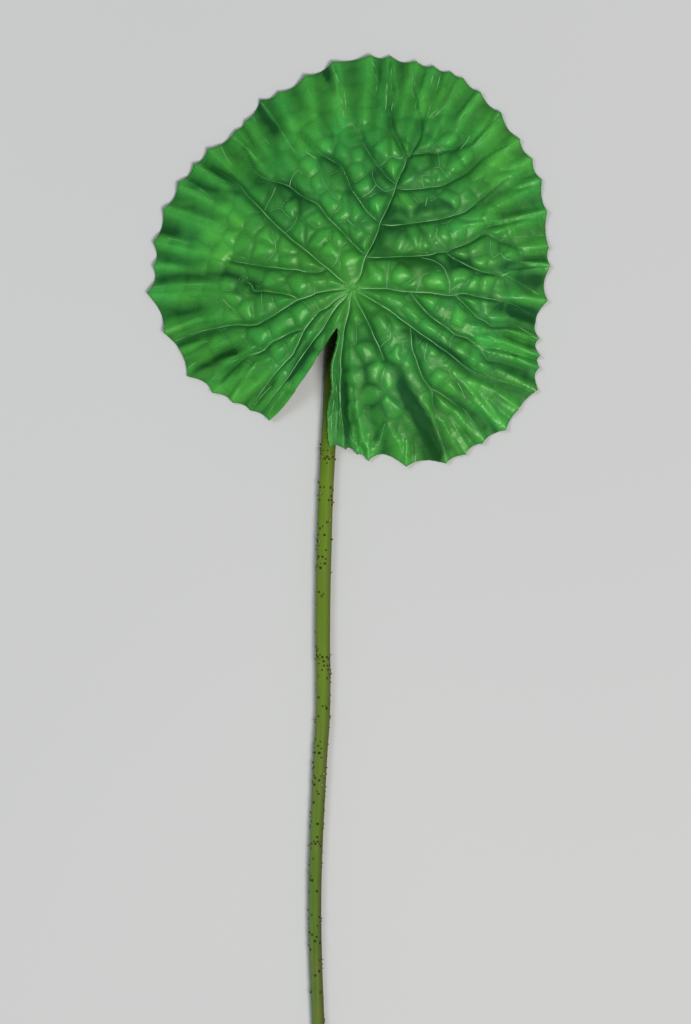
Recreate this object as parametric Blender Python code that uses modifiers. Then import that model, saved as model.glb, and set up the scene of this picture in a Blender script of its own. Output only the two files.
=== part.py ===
"""A water lily pad: a round, toothed and pleated leaf with a narrow notch, on a long thorny stem.

The cut leaf lies face up on a surface. Its notch opens towards -Y and the stem runs out under it
along -Y. The origin is on the surface, under the middle of the whole thing. Metres, +Z up.
"""
import math
import random

import bmesh
import bpy
import numpy as np
from mathutils import Matrix, Vector

MM = 0.001

# Plan points are read by eye in the pixels of one upright picture and turned into real sizes.
PIXEL = 0.75 * MM
HUB_PIXEL = (352.0, 291.0)

# Leaf: heights of its upper face above the surface, and how deep its folds are.
BLADE_THICKNESS = 1.5 * MM
PRESSED_DEPTH = 0.5 * MM
HUB_HEIGHT = 34.0 * MM
RIM_HEIGHT = 2.3 * MM
HUB_FLAT_RADIUS = 7.5 * MM
PLEAT_DEPTH = 0.2
PLEAT_START = 0.52
NOTCH_ROLL = 1.6 * MM
NOTCH_ROLL_REACH = 4.0 * MM
NOTCH_ROLL_START = 1.2
NOTCH_ROLL_FULL = 2.0

# The blade puffs up between the veins, from a distance from the hub, and less towards the rim.
PUFF_HEIGHT = 3.0 * MM
PUFF_REACH = 6.5 * MM
PUFF_FULL_RADIUS = 30.0 * MM
PUFF_FALL_START = 0.7
PUFF_FALL = 0.55

# How high the blade stays over the stem where it crosses it, and how fast that falls beside it.
STEM_CLEARANCE = 1.0 * MM
CLEARANCE_SLOPE = 0.55
CROSSED_POINTS = 4

# Tips of the teeth, clockwise from the lobe left of the notch, with the dip to the next tip.
TEETH = [
    (268.8, 420.9, 3.0), (250.2, 410.7, 3.0), (232.4, 402.9, 3.8), (212.1, 393.1, 6.0),
    (187.3, 376.6, 2.0), (182.0, 354.0, 2.5), (163.8, 333.2, 6.6), (146.9, 293.1, 5.3),
    (153.4, 266.9, 4.0), (153.4, 242.7, 4.5), (163.2, 209.4, 4.5), (178.1, 182.5, 3.5),
    (193.7, 164.8, 3.0), (207.6, 149.4, 4.5), (235.3, 130.8, 2.0), (245.7, 121.0, 3.5),
    (260.4, 99.8, 3.0), (278.2, 92.4, 4.5), (305.5, 75.5, 4.5), (333.2, 61.8, 3.0),
    (371.0, 55.4, 3.0), (390.5, 56.3, 4.0), (416.3, 61.5, 3.0), (434.0, 66.2, 3.0),
    (451.1, 71.7, 2.0), (463.3, 78.2, 3.0), (480.5, 92.1, 4.0), (501.0, 112.4, 4.5),
    (519.7, 138.9, 3.5), (532.4, 158.8, 3.5), (542.0, 180.0, 4.0), (547.2, 211.6, 3.6),
    (548.9, 248.0, 2.7), (550.6, 266.6, 6.0), (547.7, 301.1, 3.4), (535.6, 322.9, 3.0),
    (539.6, 338.5, 5.0), (540.5, 355.8, 3.4), (539.6, 367.5, 4.8), (538.2, 389.9, 2.6),
    (518.3, 410.2, 2.2), (505.9, 430.4, 4.0), (482.3, 443.9, 3.5), (465.7, 454.7, 2.7),
    (445.5, 463.7, 6.4), (406.1, 467.0, 11.0), (368.4, 461.4, 3.5), (357.6, 454.9, 4.2),
    (346.3, 449.7, 4.0), (331.2, 448.4, 0.0),
]

# The two edges of the notch, from its inner end out to the lobes.
NOTCH_LEFT = [
    (336.7, 329.0), (330.6, 337.1), (326.3, 343.6), (319.8, 353.6), (310.7, 368.3),
    (300.0, 383.8), (290.1, 398.5), (280.1, 410.7), (268.8, 420.9),
]
NOTCH_RIGHT = [
    (336.7, 329.0), (338.4, 331.9), (338.4, 338.0), (336.7, 346.7), (334.1, 356.2),
    (331.5, 365.0), (331.3, 376.0), (332.2, 386.0), (331.4, 394.0), (329.6, 402.0),
    (328.0, 412.0), (327.7, 430.0), (328.6, 443.0), (331.2, 448.4),
]

# Main veins and their largest branches, each from the inner end outwards.
VEINS = [
    [(352, 291), (360, 277), (366, 257), (378, 232), (386, 212), (396, 186), (407, 158)],
    [(407, 158), (395, 137), (391, 120), (387, 100), (389, 60)],
    [(407, 158), (416, 147), (421, 128), (415, 98), (416, 64)],
    [(408, 157), (430, 154), (458, 147), (478, 138), (501, 113)],
    [(366, 257), (350, 242), (328, 219), (308, 201), (280, 184), (256, 173), (236, 131)],
    [(379, 224), (366, 212), (351, 190), (341, 168), (322, 156), (293, 138), (262, 102)],
    [(396, 186), (378, 168), (363, 144), (345, 115), (334, 64)],
    [(397, 190), (420, 190), (448, 184), (470, 171), (487, 156), (519, 139)],
    [(381, 226), (410, 225), (442, 220), (470, 209), (490, 192), (532, 159)],
    [(367, 259), (400, 258), (438, 254), (468, 244), (485, 235), (512, 246), (547, 255)],
    [(446, 254), (460, 263), (490, 274), (515, 280), (546, 300)],
    [(352, 291), (386, 290), (420, 293), (449, 296), (478, 298), (506, 303), (536, 320)],
    [(410, 293), (423, 310), (447, 329), (467, 339), (490, 350), (515, 356), (540, 356)],
    [(352, 291), (380, 306), (410, 327), (438, 347), (463, 366), (485, 377), (538, 390)],
    [(410, 329), (415, 358), (428, 386), (435, 420), (446, 463)],
    [(430, 389), (450, 401), (470, 418), (482, 443)],
    [(352, 291), (366, 320), (379, 348), (390, 374), (402, 401), (420, 430), (444, 462)],
    [(352, 291), (349, 311), (342, 345), (341, 372), (341, 410), (346, 449)],
    [(352, 291), (338, 306), (322, 331), (300, 360), (278, 389), (262, 410)],
    [(352, 291), (336, 301), (316, 316), (301, 338), (285, 363), (268, 383), (250, 410)],
    [(305, 330), (280, 339), (260, 353), (240, 362), (212, 392)],
    [(352, 291), (325, 292), (298, 301), (273, 317), (250, 326), (220, 328), (165, 332)],
    [(298, 300), (275, 293), (240, 288), (200, 286), (148, 293)],
    [(352, 291), (328, 270), (300, 247), (278, 228), (254, 203), (230, 179), (194, 165)],
    [(326, 271), (298, 271), (268, 268), (220, 267), (154, 267)],
    [(278, 228), (240, 222), (205, 216), (164, 210)],
]

# Stem: centre line from the hub to the cut end, with the height of its axis where it climbs.
STEM_CLIMB = [
    (352.0, 291.0, 32.0), (352.0, 291.0, 27.5), (351.0, 294.2, 21.8), (349.0, 300.0, 17.4),
    (346.1, 309.0, 14.0), (341.8, 322.5, 11.0), (336.9, 338.5, 8.6), (333.2, 354.0, 6.9),
]
STEM_FLAT = [
    (331.9, 375.0), (330.4, 403.0), (328.3, 445.0), (325.6, 500.0), (324.1, 550.0),
    (323.1, 600.0), (322.8, 640.0), (323.3, 680.0), (322.7, 720.0), (320.4, 755.0),
    (318.2, 800.0), (316.0, 850.0), (314.9, 905.0), (315.7, 955.0), (317.4, 1000.0),
    (319.4, 1045.0), (321.8, 1090.0),
]
STEM_RADIUS_NEAR_LEAF = 5.7 * MM
STEM_RADIUS_AT_CUT = 4.7 * MM
STEM_TAPER_START = 0.18
STEM_TAPER_END = 0.58
STEM_SIDES_RESOLUTION = 4
STEM_STEP = 14.0 * MM
STEM_CLIMB_STEP = 4.0 * MM
STEM_CLIMB_POINTS = 11
STEM_JOIN_GAP = 1.0 * MM

# Thorns: short cones all round the stem but for the strip that it lies on.
THORN_COUNT = 95
THORN_HEIGHT = 1.3 * MM
THORN_SHORTEST = 0.8
THORN_LONGEST = 1.1
THORN_ROOT = 0.9 * MM
THORN_RADIUS = 0.85 * MM
THORN_SPACING = 5.0 * MM
THORN_LOOK_AHEAD = 5.0 * MM
THORN_SPREAD = math.radians(125.0)
THORN_SIDES = 5
THORN_START = 0.235
THORN_END = 0.975
THORN_SEED = 7

# Slack in radians when a tooth's tip is told apart from the notch's left edge.
ANGLE_SLACK = 0.001
WELD_DISTANCE = 0.01 * MM

# Mesh fineness of the leaf before and after it is reduced.
COLUMN_WIDTH = 2.0 * MM
FEWEST_COLUMNS = 4
INNER_ROWS = 16
OUTER_ROWS = 60
LEAF_FACES = 2950
SURFACE_BLOCK = (400.0 * MM, 400.0 * MM, 20.0 * MM)

LEAF_GREEN = (0.045, 0.245, 0.052)
LEAF_ROUGHNESS = 0.4
STEM_GREEN = (0.125, 0.185, 0.028)
STEM_ROUGHNESS = 0.5


def remove_everything():
    for old in list(bpy.data.objects):
        bpy.data.objects.remove(old, do_unlink=True)


def make_collection(name):
    collection = bpy.data.collections.new(name)
    bpy.context.scene.collection.children.link(collection)
    return collection


def make_material(name, colour, roughness):
    material = bpy.data.materials.new(name)
    material.use_nodes = True
    shader = material.node_tree.nodes["Principled BSDF"]
    shader.inputs["Base Color"].default_value = (*colour, 1.0)
    shader.inputs["Roughness"].default_value = roughness
    shader.inputs["Metallic"].default_value = 0.0
    return material


def plan(points):
    """Picture pixels to metres from the hub, with +Y towards the top of the picture."""
    points = np.array(points, dtype=float)[:, :2]
    return (points - HUB_PIXEL) * (PIXEL, -PIXEL)


def hub_place():
    """Where the hub stands in the part's frame, so that the origin is under the middle."""
    reach = np.vstack([plan(TEETH), plan(STEM_FLAT)])
    middle = (reach.min(axis=0) + reach.max(axis=0)) / 2
    return -middle[0], -middle[1]


def smoothstep(low, high, value):
    part = np.clip((value - low) / (high - low), 0.0, 1.0)
    return part * part * (3.0 - 2.0 * part)


class LeafOutline:
    """Plan of the leaf in polar form: s runs clockwise from the notch's left edge to its right."""

    def __init__(self):
        self.left = self.edge(NOTCH_LEFT)
        self.right = self.edge(NOTCH_RIGHT)
        self.notch_radius = self.left[0][0]
        tips = plan(TEETH)
        radii = np.hypot(tips[:, 0], tips[:, 1])
        left, right = self.edge_angles(radii)
        turn = self.clockwise(tips)
        turn = np.where(turn < left - ANGLE_SLACK, turn + 2.0 * math.pi, turn)
        self.tip_s = (turn - left) / (right - left)
        self.tip_s[0] = 0.0
        self.tip_s[-1] = 1.0
        self.tip_radius = radii
        self.dips = np.array([tooth[2] for tooth in TEETH]) * PIXEL

    @staticmethod
    def clockwise(points):
        """Angle about the hub, clockwise from straight down, so that the notch is at 0."""
        return np.arctan2(-points[:, 0], -points[:, 1]) % (2.0 * math.pi)

    def edge(self, pixels):
        points = plan(pixels)
        return np.hypot(points[:, 0], points[:, 1]), self.clockwise(points)

    def edge_angles(self, radius):
        """Angles of the notch's left edge and of its right one, a full turn on, at each radius."""
        left = np.interp(radius, *self.left)
        right = np.interp(radius, *self.right)
        return left, right + 2.0 * math.pi

    def gap(self, s):
        """Which gap between two teeth each s is in, and how far along it from 0 to 1."""
        index = np.clip(np.searchsorted(self.tip_s, s, side="right") - 1, 0, len(self.tip_s) - 2)
        width = self.tip_s[index + 1] - self.tip_s[index]
        return index, (s - self.tip_s[index]) / width

    def rim_radius(self, s):
        index, along = self.gap(s)
        chord = self.tip_radius[index] * (1.0 - along) + self.tip_radius[index + 1] * along
        return chord - self.dips[index] * 4.0 * along * (1.0 - along)

    def columns(self, width):
        """Values of s with one on each tooth's tip and steps of about the given width between."""
        values = [0.0]
        for index in range(len(self.tip_s) - 1):
            start, end = self.tip_s[index], self.tip_s[index + 1]
            length = (end - start) * 2.0 * math.pi * self.tip_radius[index]
            steps = max(FEWEST_COLUMNS, 2 * round(length / width / 2))
            values += [start + (end - start) * k / steps for k in range(1, steps + 1)]
        return np.array(values)

    def place(self, s, radius):
        left, right = self.edge_angles(radius)
        angle = left + (right - left) * s
        return np.stack([-np.sin(angle) * radius, -np.cos(angle) * radius], axis=1)


def distance_to_lines(points, lines):
    """Distance from each point to the nearest of some chains of straight lines."""
    nearest = np.full(len(points), 1.0)
    for line in lines:
        ends = plan(line)
        for start, end in zip(ends[:-1], ends[1:]):
            run = end - start
            along = np.clip((points - start) @ run / (run @ run), 0.0, 1.0)
            gap = points - start - along[:, None] * run
            nearest = np.minimum(nearest, np.hypot(gap[:, 0], gap[:, 1]))
    return nearest


def stem_clearance(points):
    """Height that the upper face keeps over the stem, which the right-hand lobe rests across."""
    crossed = STEM_CLIMB[-1:] + STEM_FLAT[:CROSSED_POINTS]
    aside = distance_to_lines(points, [[(x, y) for x, y, *_ in crossed]])
    top = 2.0 * STEM_RADIUS_NEAR_LEAF + THORN_HEIGHT + BLADE_THICKNESS + STEM_CLEARANCE
    fall = np.maximum(aside - STEM_RADIUS_NEAR_LEAF, 0.0)
    return top - CLEARANCE_SLOPE * fall


def leaf_height(outline, points, s, radius):
    """Height of the leaf's upper face above the surface."""
    rim = outline.rim_radius(s)
    out = radius / rim
    dome = RIM_HEIGHT + (HUB_HEIGHT - RIM_HEIGHT) * (1.0 - out**2)
    index, along = outline.gap(s)
    gap_width = (outline.tip_s[index + 1] - outline.tip_s[index]) * 2.0 * math.pi * rim
    pleat = 0.5 * PLEAT_DEPTH * gap_width * np.cos(2.0 * math.pi * along)
    pleat *= smoothstep(PLEAT_START, 1.0, out)
    vein = distance_to_lines(points, VEINS)
    puff = PUFF_HEIGHT * (1.0 - np.exp(-((vein / PUFF_REACH) ** 2)))
    puff *= smoothstep(HUB_FLAT_RADIUS, PUFF_FULL_RADIUS, radius)
    puff *= 1.0 - PUFF_FALL * smoothstep(PUFF_FALL_START, 1.0, out)
    notch = distance_to_lines(points, [NOTCH_LEFT, NOTCH_RIGHT])
    roll = NOTCH_ROLL * np.exp(-((notch / NOTCH_ROLL_REACH) ** 2))
    roll *= smoothstep(NOTCH_ROLL_START, NOTCH_ROLL_FULL, radius / outline.notch_radius)
    height = dome + pleat + puff + roll
    floor = np.maximum(stem_clearance(points), BLADE_THICKNESS - PRESSED_DEPTH)
    return np.maximum(height, floor)


def make_surface_cutter(collection):
    """A block under the leaf, whose top is the surface that the rim's lowest folds press flat on."""
    block = bmesh.new()
    bmesh.ops.create_cube(block, size=1.0)
    mesh = bpy.data.meshes.new("surface")
    bmesh.ops.scale(block, vec=SURFACE_BLOCK, verts=block.verts)
    bmesh.ops.translate(block, vec=(0.0, 0.0, -SURFACE_BLOCK[2] / 2), verts=block.verts)
    block.to_mesh(mesh)
    block.free()
    surface = bpy.data.objects.new("surface", mesh)
    surface.location = (*hub_place(), 0.0)
    surface.hide_render = True
    surface.display_type = "WIRE"
    collection.objects.link(surface)
    return surface


def make_leaf(collection, helpers, material):
    outline = LeafOutline()
    columns = outline.columns(COLUMN_WIDTH)
    across, outward = len(columns) - 1, INNER_ROWS + OUTER_ROWS
    grid = bmesh.new()
    bmesh.ops.create_grid(grid, x_segments=across, y_segments=outward, size=0.5)
    flat = np.array([v.co for v in grid.verts])
    s = columns[np.rint((flat[:, 0] + 0.5) * across).astype(int)]
    row = np.rint((flat[:, 1] + 0.5) * outward)
    rim = outline.rim_radius(s)
    inner = outline.notch_radius * row / INNER_ROWS
    outer = (rim - outline.notch_radius) * (row - INNER_ROWS) / OUTER_ROWS + outline.notch_radius
    radius = np.where(row <= INNER_ROWS, inner, outer)
    points = outline.place(s, radius)
    heights = leaf_height(outline, points, s, radius)
    for vertex, point, height in zip(grid.verts, points, heights):
        vertex.co = (point[0], point[1], height)
    bmesh.ops.remove_doubles(grid, verts=grid.verts, dist=WELD_DISTANCE)
    bmesh.ops.recalc_face_normals(grid, faces=grid.faces)
    if sum(face.normal.z for face in grid.faces) < 0.0:
        bmesh.ops.reverse_faces(grid, faces=grid.faces)
    bmesh.ops.triangulate(grid, faces=grid.faces)
    full_count = len(grid.faces)
    mesh = bpy.data.meshes.new("leaf")
    grid.to_mesh(mesh)
    grid.free()
    mesh.materials.append(material)
    leaf = bpy.data.objects.new("leaf", mesh)
    leaf.location = (*hub_place(), 0.0)
    collection.objects.link(leaf)
    reduce = leaf.modifiers.new("reduce", "DECIMATE")
    reduce.ratio = LEAF_FACES / full_count
    blade = leaf.modifiers.new("blade thickness", "SOLIDIFY")
    blade.thickness = BLADE_THICKNESS
    blade.offset = -1.0
    press = leaf.modifiers.new("pressed flat", "BOOLEAN")
    press.operation = "DIFFERENCE"
    press.solver = "EXACT"
    press.object = make_surface_cutter(helpers)
    mesh.shade_smooth()
    return leaf


def curve_through(points, step):
    """Points at about even steps on a smooth curve through the given ones."""
    points = np.array(points, dtype=float)
    padded = np.vstack([2 * points[0] - points[1], points, 2 * points[-1] - points[-2]])
    path = []
    for a, b, c, d in zip(padded[:-3], padded[1:-2], padded[2:-1], padded[3:]):
        count = max(1, round(float(np.linalg.norm(c - b)) / step))
        for k in range(count):
            u = k / count
            path.append(0.5 * (2 * b + (c - a) * u + (2 * a - 5 * b + 4 * c - d) * u * u
                               + (3 * b - a - 3 * c + d) * u**3))
    path.append(points[-1])
    return np.array(path)


def stem_radius(distance_down):
    """Radius by how far down the stem is from the hub in plan."""
    part = smoothstep(STEM_TAPER_START, STEM_TAPER_END, distance_down)
    return STEM_RADIUS_NEAR_LEAF + (STEM_RADIUS_AT_CUT - STEM_RADIUS_NEAR_LEAF) * part


def stem_path():
    """Centre line of the stem from the hub, and the radius at each of its points."""
    climb = np.column_stack([plan(STEM_CLIMB), np.array([z for _, _, z in STEM_CLIMB]) * MM])
    flat = plan(STEM_FLAT)
    flat = np.column_stack([flat, stem_radius(-flat[:, 1])])
    whole = np.vstack([climb, flat])
    near = curve_through(whole[:STEM_CLIMB_POINTS], STEM_CLIMB_STEP)[:-1]
    far = curve_through(whole[STEM_CLIMB_POINTS - 2:], STEM_STEP)
    near = near[near[:, 1] > far[0][1] + STEM_JOIN_GAP]
    path = np.vstack([near, far])
    return path, stem_radius(-path[:, 1])


def make_thorns(collection, path, radii):
    """One object with every thorn, each a cone rooted in the stem."""
    steps = np.linalg.norm(np.diff(path, axis=0), axis=1)
    lengths = np.concatenate([[0.0], np.cumsum(steps)])
    chance = random.Random(THORN_SEED)
    thorns = bmesh.new()
    placed = []
    while len(placed) < THORN_COUNT:
        along = chance.uniform(THORN_START, THORN_END) * lengths[-1]
        turn = chance.uniform(-THORN_SPREAD, THORN_SPREAD)
        centre = Vector([float(np.interp(along, lengths, path[:, k])) for k in range(3)])
        later = along + THORN_LOOK_AHEAD
        ahead = Vector([float(np.interp(later, lengths, path[:, k])) for k in range(3)])
        radius = float(np.interp(along, lengths, radii))
        run = (ahead - centre).normalized()
        side = run.cross(Vector((0.0, 0.0, 1.0))).normalized()
        out = side * math.sin(turn) + side.cross(run) * math.cos(turn)
        root = centre + out * (radius - THORN_ROOT)
        if any((root - other).length < THORN_SPACING for other in placed):
            continue
        placed.append(root)
        height = THORN_ROOT + THORN_HEIGHT * chance.uniform(THORN_SHORTEST, THORN_LONGEST)
        turned = out.to_track_quat("Z", "Y").to_matrix().to_4x4()
        matrix = Matrix.Translation(root + out * height / 2) @ turned
        bmesh.ops.create_cone(thorns, cap_ends=True, segments=THORN_SIDES, radius1=THORN_RADIUS,
                              radius2=0.0, depth=height, matrix=matrix)
    bmesh.ops.remove_doubles(thorns, verts=thorns.verts, dist=WELD_DISTANCE)
    mesh = bpy.data.meshes.new("thorns")
    thorns.to_mesh(mesh)
    thorns.free()
    joined = bpy.data.objects.new("thorns", mesh)
    joined.hide_render = True
    joined.display_type = "WIRE"
    collection.objects.link(joined)
    return joined


def make_stem(collection, helpers, material):
    path, radii = stem_path()
    data = bpy.data.curves.new("stem line", "CURVE")
    data.dimensions = "3D"
    data.bevel_depth = 1.0
    data.bevel_resolution = STEM_SIDES_RESOLUTION
    data.use_fill_caps = True
    spline = data.splines.new("POLY")
    spline.points.add(len(path) - 1)
    for point, place, radius in zip(spline.points, path, radii):
        point.co = (*place, 1.0)
        point.radius = float(radius)
    line = bpy.data.objects.new("stem line", data)
    collection.objects.link(line)
    evaluated = line.evaluated_get(bpy.context.evaluated_depsgraph_get())
    mesh = bpy.data.meshes.new_from_object(evaluated)
    bpy.data.objects.remove(line, do_unlink=True)
    tube = bmesh.new()
    tube.from_mesh(mesh)
    bmesh.ops.remove_doubles(tube, verts=tube.verts, dist=WELD_DISTANCE)
    bmesh.ops.recalc_face_normals(tube, faces=tube.faces)
    tube.to_mesh(mesh)
    tube.free()
    mesh.name = "stem"
    mesh.materials.clear()
    mesh.materials.append(material)
    stem = bpy.data.objects.new("stem", mesh)
    stem.location = (*hub_place(), 0.0)
    collection.objects.link(stem)
    thorns = make_thorns(helpers, path, radii)
    thorns.location = stem.location
    join = stem.modifiers.new("thorns", "BOOLEAN")
    join.operation = "UNION"
    join.solver = "EXACT"
    join.object = thorns
    return stem


def main():
    remove_everything()
    parts = make_collection("water_lily_pad")
    helpers = make_collection("helpers")
    make_leaf(parts, helpers, make_material("leaf", LEAF_GREEN, LEAF_ROUGHNESS))
    make_stem(parts, helpers, make_material("stem", STEM_GREEN, STEM_ROUGHNESS))


main()
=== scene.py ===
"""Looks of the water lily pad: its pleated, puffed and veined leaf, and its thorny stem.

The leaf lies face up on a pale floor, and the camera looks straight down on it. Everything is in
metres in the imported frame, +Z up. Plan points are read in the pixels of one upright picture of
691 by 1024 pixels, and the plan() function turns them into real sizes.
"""
import math
import random

import bmesh
import bpy
import numpy as np
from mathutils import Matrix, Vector, geometry, noise
from mathutils.bvhtree import BVHTree
from mathutils.kdtree import KDTree

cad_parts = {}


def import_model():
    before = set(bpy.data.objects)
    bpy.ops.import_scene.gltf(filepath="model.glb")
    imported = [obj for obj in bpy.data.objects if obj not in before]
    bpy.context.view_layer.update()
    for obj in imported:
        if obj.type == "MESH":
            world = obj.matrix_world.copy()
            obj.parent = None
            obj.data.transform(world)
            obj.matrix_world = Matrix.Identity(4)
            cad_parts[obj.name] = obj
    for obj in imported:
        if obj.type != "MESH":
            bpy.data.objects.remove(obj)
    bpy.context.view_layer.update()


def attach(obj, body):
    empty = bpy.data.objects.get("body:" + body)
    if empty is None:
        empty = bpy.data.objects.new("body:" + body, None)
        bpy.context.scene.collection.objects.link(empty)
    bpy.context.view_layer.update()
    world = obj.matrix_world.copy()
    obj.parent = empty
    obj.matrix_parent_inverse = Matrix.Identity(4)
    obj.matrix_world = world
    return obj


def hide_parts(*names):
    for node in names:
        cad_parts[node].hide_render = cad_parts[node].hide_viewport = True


MM = 0.001
FULL_TURN = 2.0 * math.pi

# The picture and the camera. The sensor's height is in millimetres, as Blender takes it.
PIXEL = 0.75 * MM
HUB_PIXEL = (352.0, 291.0)
PICTURE_MIDDLE = (345.5, 512.0)
PICTURE_HEIGHT = 1024
CAMERA_DISTANCE = 5.0
CAMERA_REACH = 50.0
SENSOR_HEIGHT = 24.0

# Lights: place from the hub, size, watts and colour. Both shine at one point beside the hub, and
# TOWARDS_LIGHT is where the light comes from in plan.
LIGHT_TARGET = (0.0, -0.15, 0.0)
KEY_LIGHT = ((1.45, -1.4, 4.35), 2.1, 168.0, (1.0, 0.98, 0.94))
SKY_LIGHT = ((-1.9, 0.9, 3.4), 1.6, 44.0, (0.84, 0.94, 1.0))
WORLD_COLOUR = (0.95, 0.97, 1.0, 1.0)
WORLD_STRENGTH = 0.26
TOWARDS_LIGHT = (0.77, -0.64)
FLOOR_SIZE = 14.0
NOISE_ROUGHNESS = 0.55

# The leaf's blade: thickness, heights of the dome's upper face above the surface, the lowest that
# its face and its back go, and how far the rim stays inside the solid's.
BLADE_THICKNESS = 1.3 * MM
HUB_HEIGHT = 31.1 * MM
RIM_HEIGHT = 2.3 * MM
RIM_LOWEST = 1.1 * MM
BACK_LOWEST = 0.05 * MM
RIM_INSET = 0.02 * MM

# Radii about the hub between which the veins' grooves and then the puffs set in.
HUB_EDGE = (3.0 * MM, 12.0 * MM)
HUB_FLAT_RADIUS = 7.5 * MM
HUB_FADE = (HUB_FLAT_RADIUS, 3.0 * HUB_FLAT_RADIUS)

# Towards the rim: pleats at the teeth, as deep as a share of a tooth's width, fine rays and calmer
# puffs. Where each sets in is a share of the way out from the hub.
PLEAT_DEPTH = 0.12
PLEAT_START = 0.52
RAY_START = (0.55, 0.95)
RAY_STRETCH = (0.15, 0.12)
RIM_BAND = (0.6, 0.92)
RIM_CALM = 0.75

# Each vein lies in a broad groove and a narrow crease, narrower on the side towards the light.
GROOVE_DEPTH = 2.1 * MM
GROOVE_REACH = 7.0 * MM
GROOVE_SKEW = 0.1
CREASE_DEPTH = 1.3 * MM
CREASE_REACH = 2.3 * MM
CREASE_SKEW = 0.3
FINE_PINCH = 0.8
FINE_REACH = 3.0 * MM
TREE_STEP = 0.5 * MM
LEAST_APART = 0.01 * MM

# Puffed cells between the veins.
SWELLING_STRENGTH = 1.7
CELL_HEIGHTS = (0.8 * MM, 1.6 * MM)
CELL_SPACING = 11.0 * MM
CELL_VEIN_GAP = 0.3 * CELL_SPACING
CELL_TRIES = 12000
CELL_SEED = 5
CELL_BLEND = 0.9 * MM
CELL_NEIGHBOURS = 7
CELL_WARP = 2.2 * MM
CELL_WARP_SIZE = 13.0 * MM
CELL_WARP_SEEDS = (21.0, 34.0)
CELL_TOLERANCE = 1e-9
UNWARP_ROUNDS = 4

# Small lumps and rays: height, size and seed of their noise.
COARSE_LUMPS = (0.4 * MM, 9.0 * MM, 3.0)
FINE_LUMPS = (0.13 * MM, 4.0 * MM, 8.0)
HUB_LUMPS = (0.3 * MM, 1.8 * MM, 6.0)
RAYS = (0.45 * MM, 5.0 * MM, 12.0)

# The notch: its edges roll up from a little past its inner end, in shares of that radius. Its
# right one is ragged, by the depth, size and seed of some tears.
NOTCH_ROLL = 1.6 * MM
NOTCH_ROLL_REACH = 4.0 * MM
NOTCH_ROLL_START = (1.2, 2.0)
TEARS = (0.9 * MM, 1.9 * MM, 41.0)
TEAR_LEAST_RADIUS = 10.0 * MM

# Folds and bands of painted light and shade: step along them, shares of their length in which they fade in
# and out, how many reaches wide they are, and how many their crest lies beside their lit flank.
FOLD_STEP = 1.5 * MM
FOLD_FADE_IN = 0.25
FOLD_FADE_OUT = 0.125
FOLD_WIDTH = 3.0
FLANK = 0.7
LIGHT_SHADE_STRENGTH = 1.2

# The tone, from 0 for the darkest green to 1 for the lightest, is painted light and shade that follow the
# shape: lighter on puffs, lumps and crests, darker in grooves and valleys, most on the walls that face
# away from the light.
TONE_MIDDLE = 0.45
TONE_AWAY_FROM_HUB = 0.1
TONE_SPAN = 5.2 * MM
TONE_LEVEL = 0.8 * MM
GROOVE_TONE = 1.0 * MM
GROOVE_TONE_SKEW = 0.5
RIM_TONE_CALM = 0.5
FOLD_TONE = 0.88
CREASE_TONE = 0.55

# Fineness of the leaf's mesh, and the angle in degrees above which its edges are sharp.
COLUMN_WIDTH = 1.3 * MM
COLUMN_MULTIPLE = 16
ROW_WIDTH = 1.26 * MM
FIRST_RING = 0.6 * MM
ANGLE_SLACK = 0.001
WIDER_COLUMNS_BELOW = (82.0 * MM, 40.0 * MM, 14.0 * MM)
BLADE_SHARP_ABOVE = 70.0

# Ridges along the veins: where they run, how their width changes and where they fade.
VEIN_STEP = 1.0 * MM
VEIN_START = 2.4 * MM
VEIN_BREAK = 2.5 * MM
VEIN_LOWEST = 0.6 * MM
VEIN_LOOK_FROM = 100.0 * MM
VEIN_LEAST_POINTS = 4
VEIN_SHOULDER = (0.62, 0.6)
VEIN_TAPER = 0.7
VEIN_ENDS = (0.06, 0.07)
VEIN_END_WIDTH = 0.15
VEIN_FAINT_WIDTH = 0.45
VEIN_PATCH = 9.0 * MM
VEIN_PATCHES = (-0.3, 0.15)
VEIN_SEED = 27.0
VEIN_SINK = 0.6
RIB_SINK = 0.24
VEIN_FADE = (70.0 * MM, 150.0 * MM)
FINE_FADE = (110.0 * MM, 180.0 * MM)
CREST_FADE = (180.0 * MM, 260.0 * MM)
CREST_LEAST = 0.7

# Borders of cells that show as fine veins.
BORDER_LENGTHS = (0.8 * MM, 16.0 * MM)
BORDER_GAP = 2.0 * MM
BORDER_END = 0.84
BORDER_PATCH = 16.0 * MM
BORDER_SEED = 17.0
BORDER_PATCHES_ABOVE = -0.2
BORDER_FOLDS_ABOVE = -0.8 * MM
BORDER_SHADE_BANDS_ABOVE = -0.3

# The stem, which tapers between two distances down from the hub, and room for it under the leaf.
STEM_RADIUS_NEAR_LEAF = 5.7 * MM
STEM_RADIUS_AT_CUT = 4.7 * MM
STEM_TAPER = (0.18, 0.58)
STEM_SIDES = 36
STEM_STEP = 1.6 * MM
STEM_LOWEST = 0.02 * MM
STEM_LUMPS = 0.018
STEM_LUMP_ROUND = 1.3
STEM_LUMP_LENGTH = 14.0 * MM
STEM_RIBS = 9
STEM_RIB_DEPTH = 0.006
STEM_MEAN = 0.985
STEM_UPPER_SIDE = (0.0, 0.3, 1.0)
STEM_SHARP_ABOVE = 60.0
CLEARANCE = 1.0 * MM
CLEARANCE_FALL = 0.55

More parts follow.
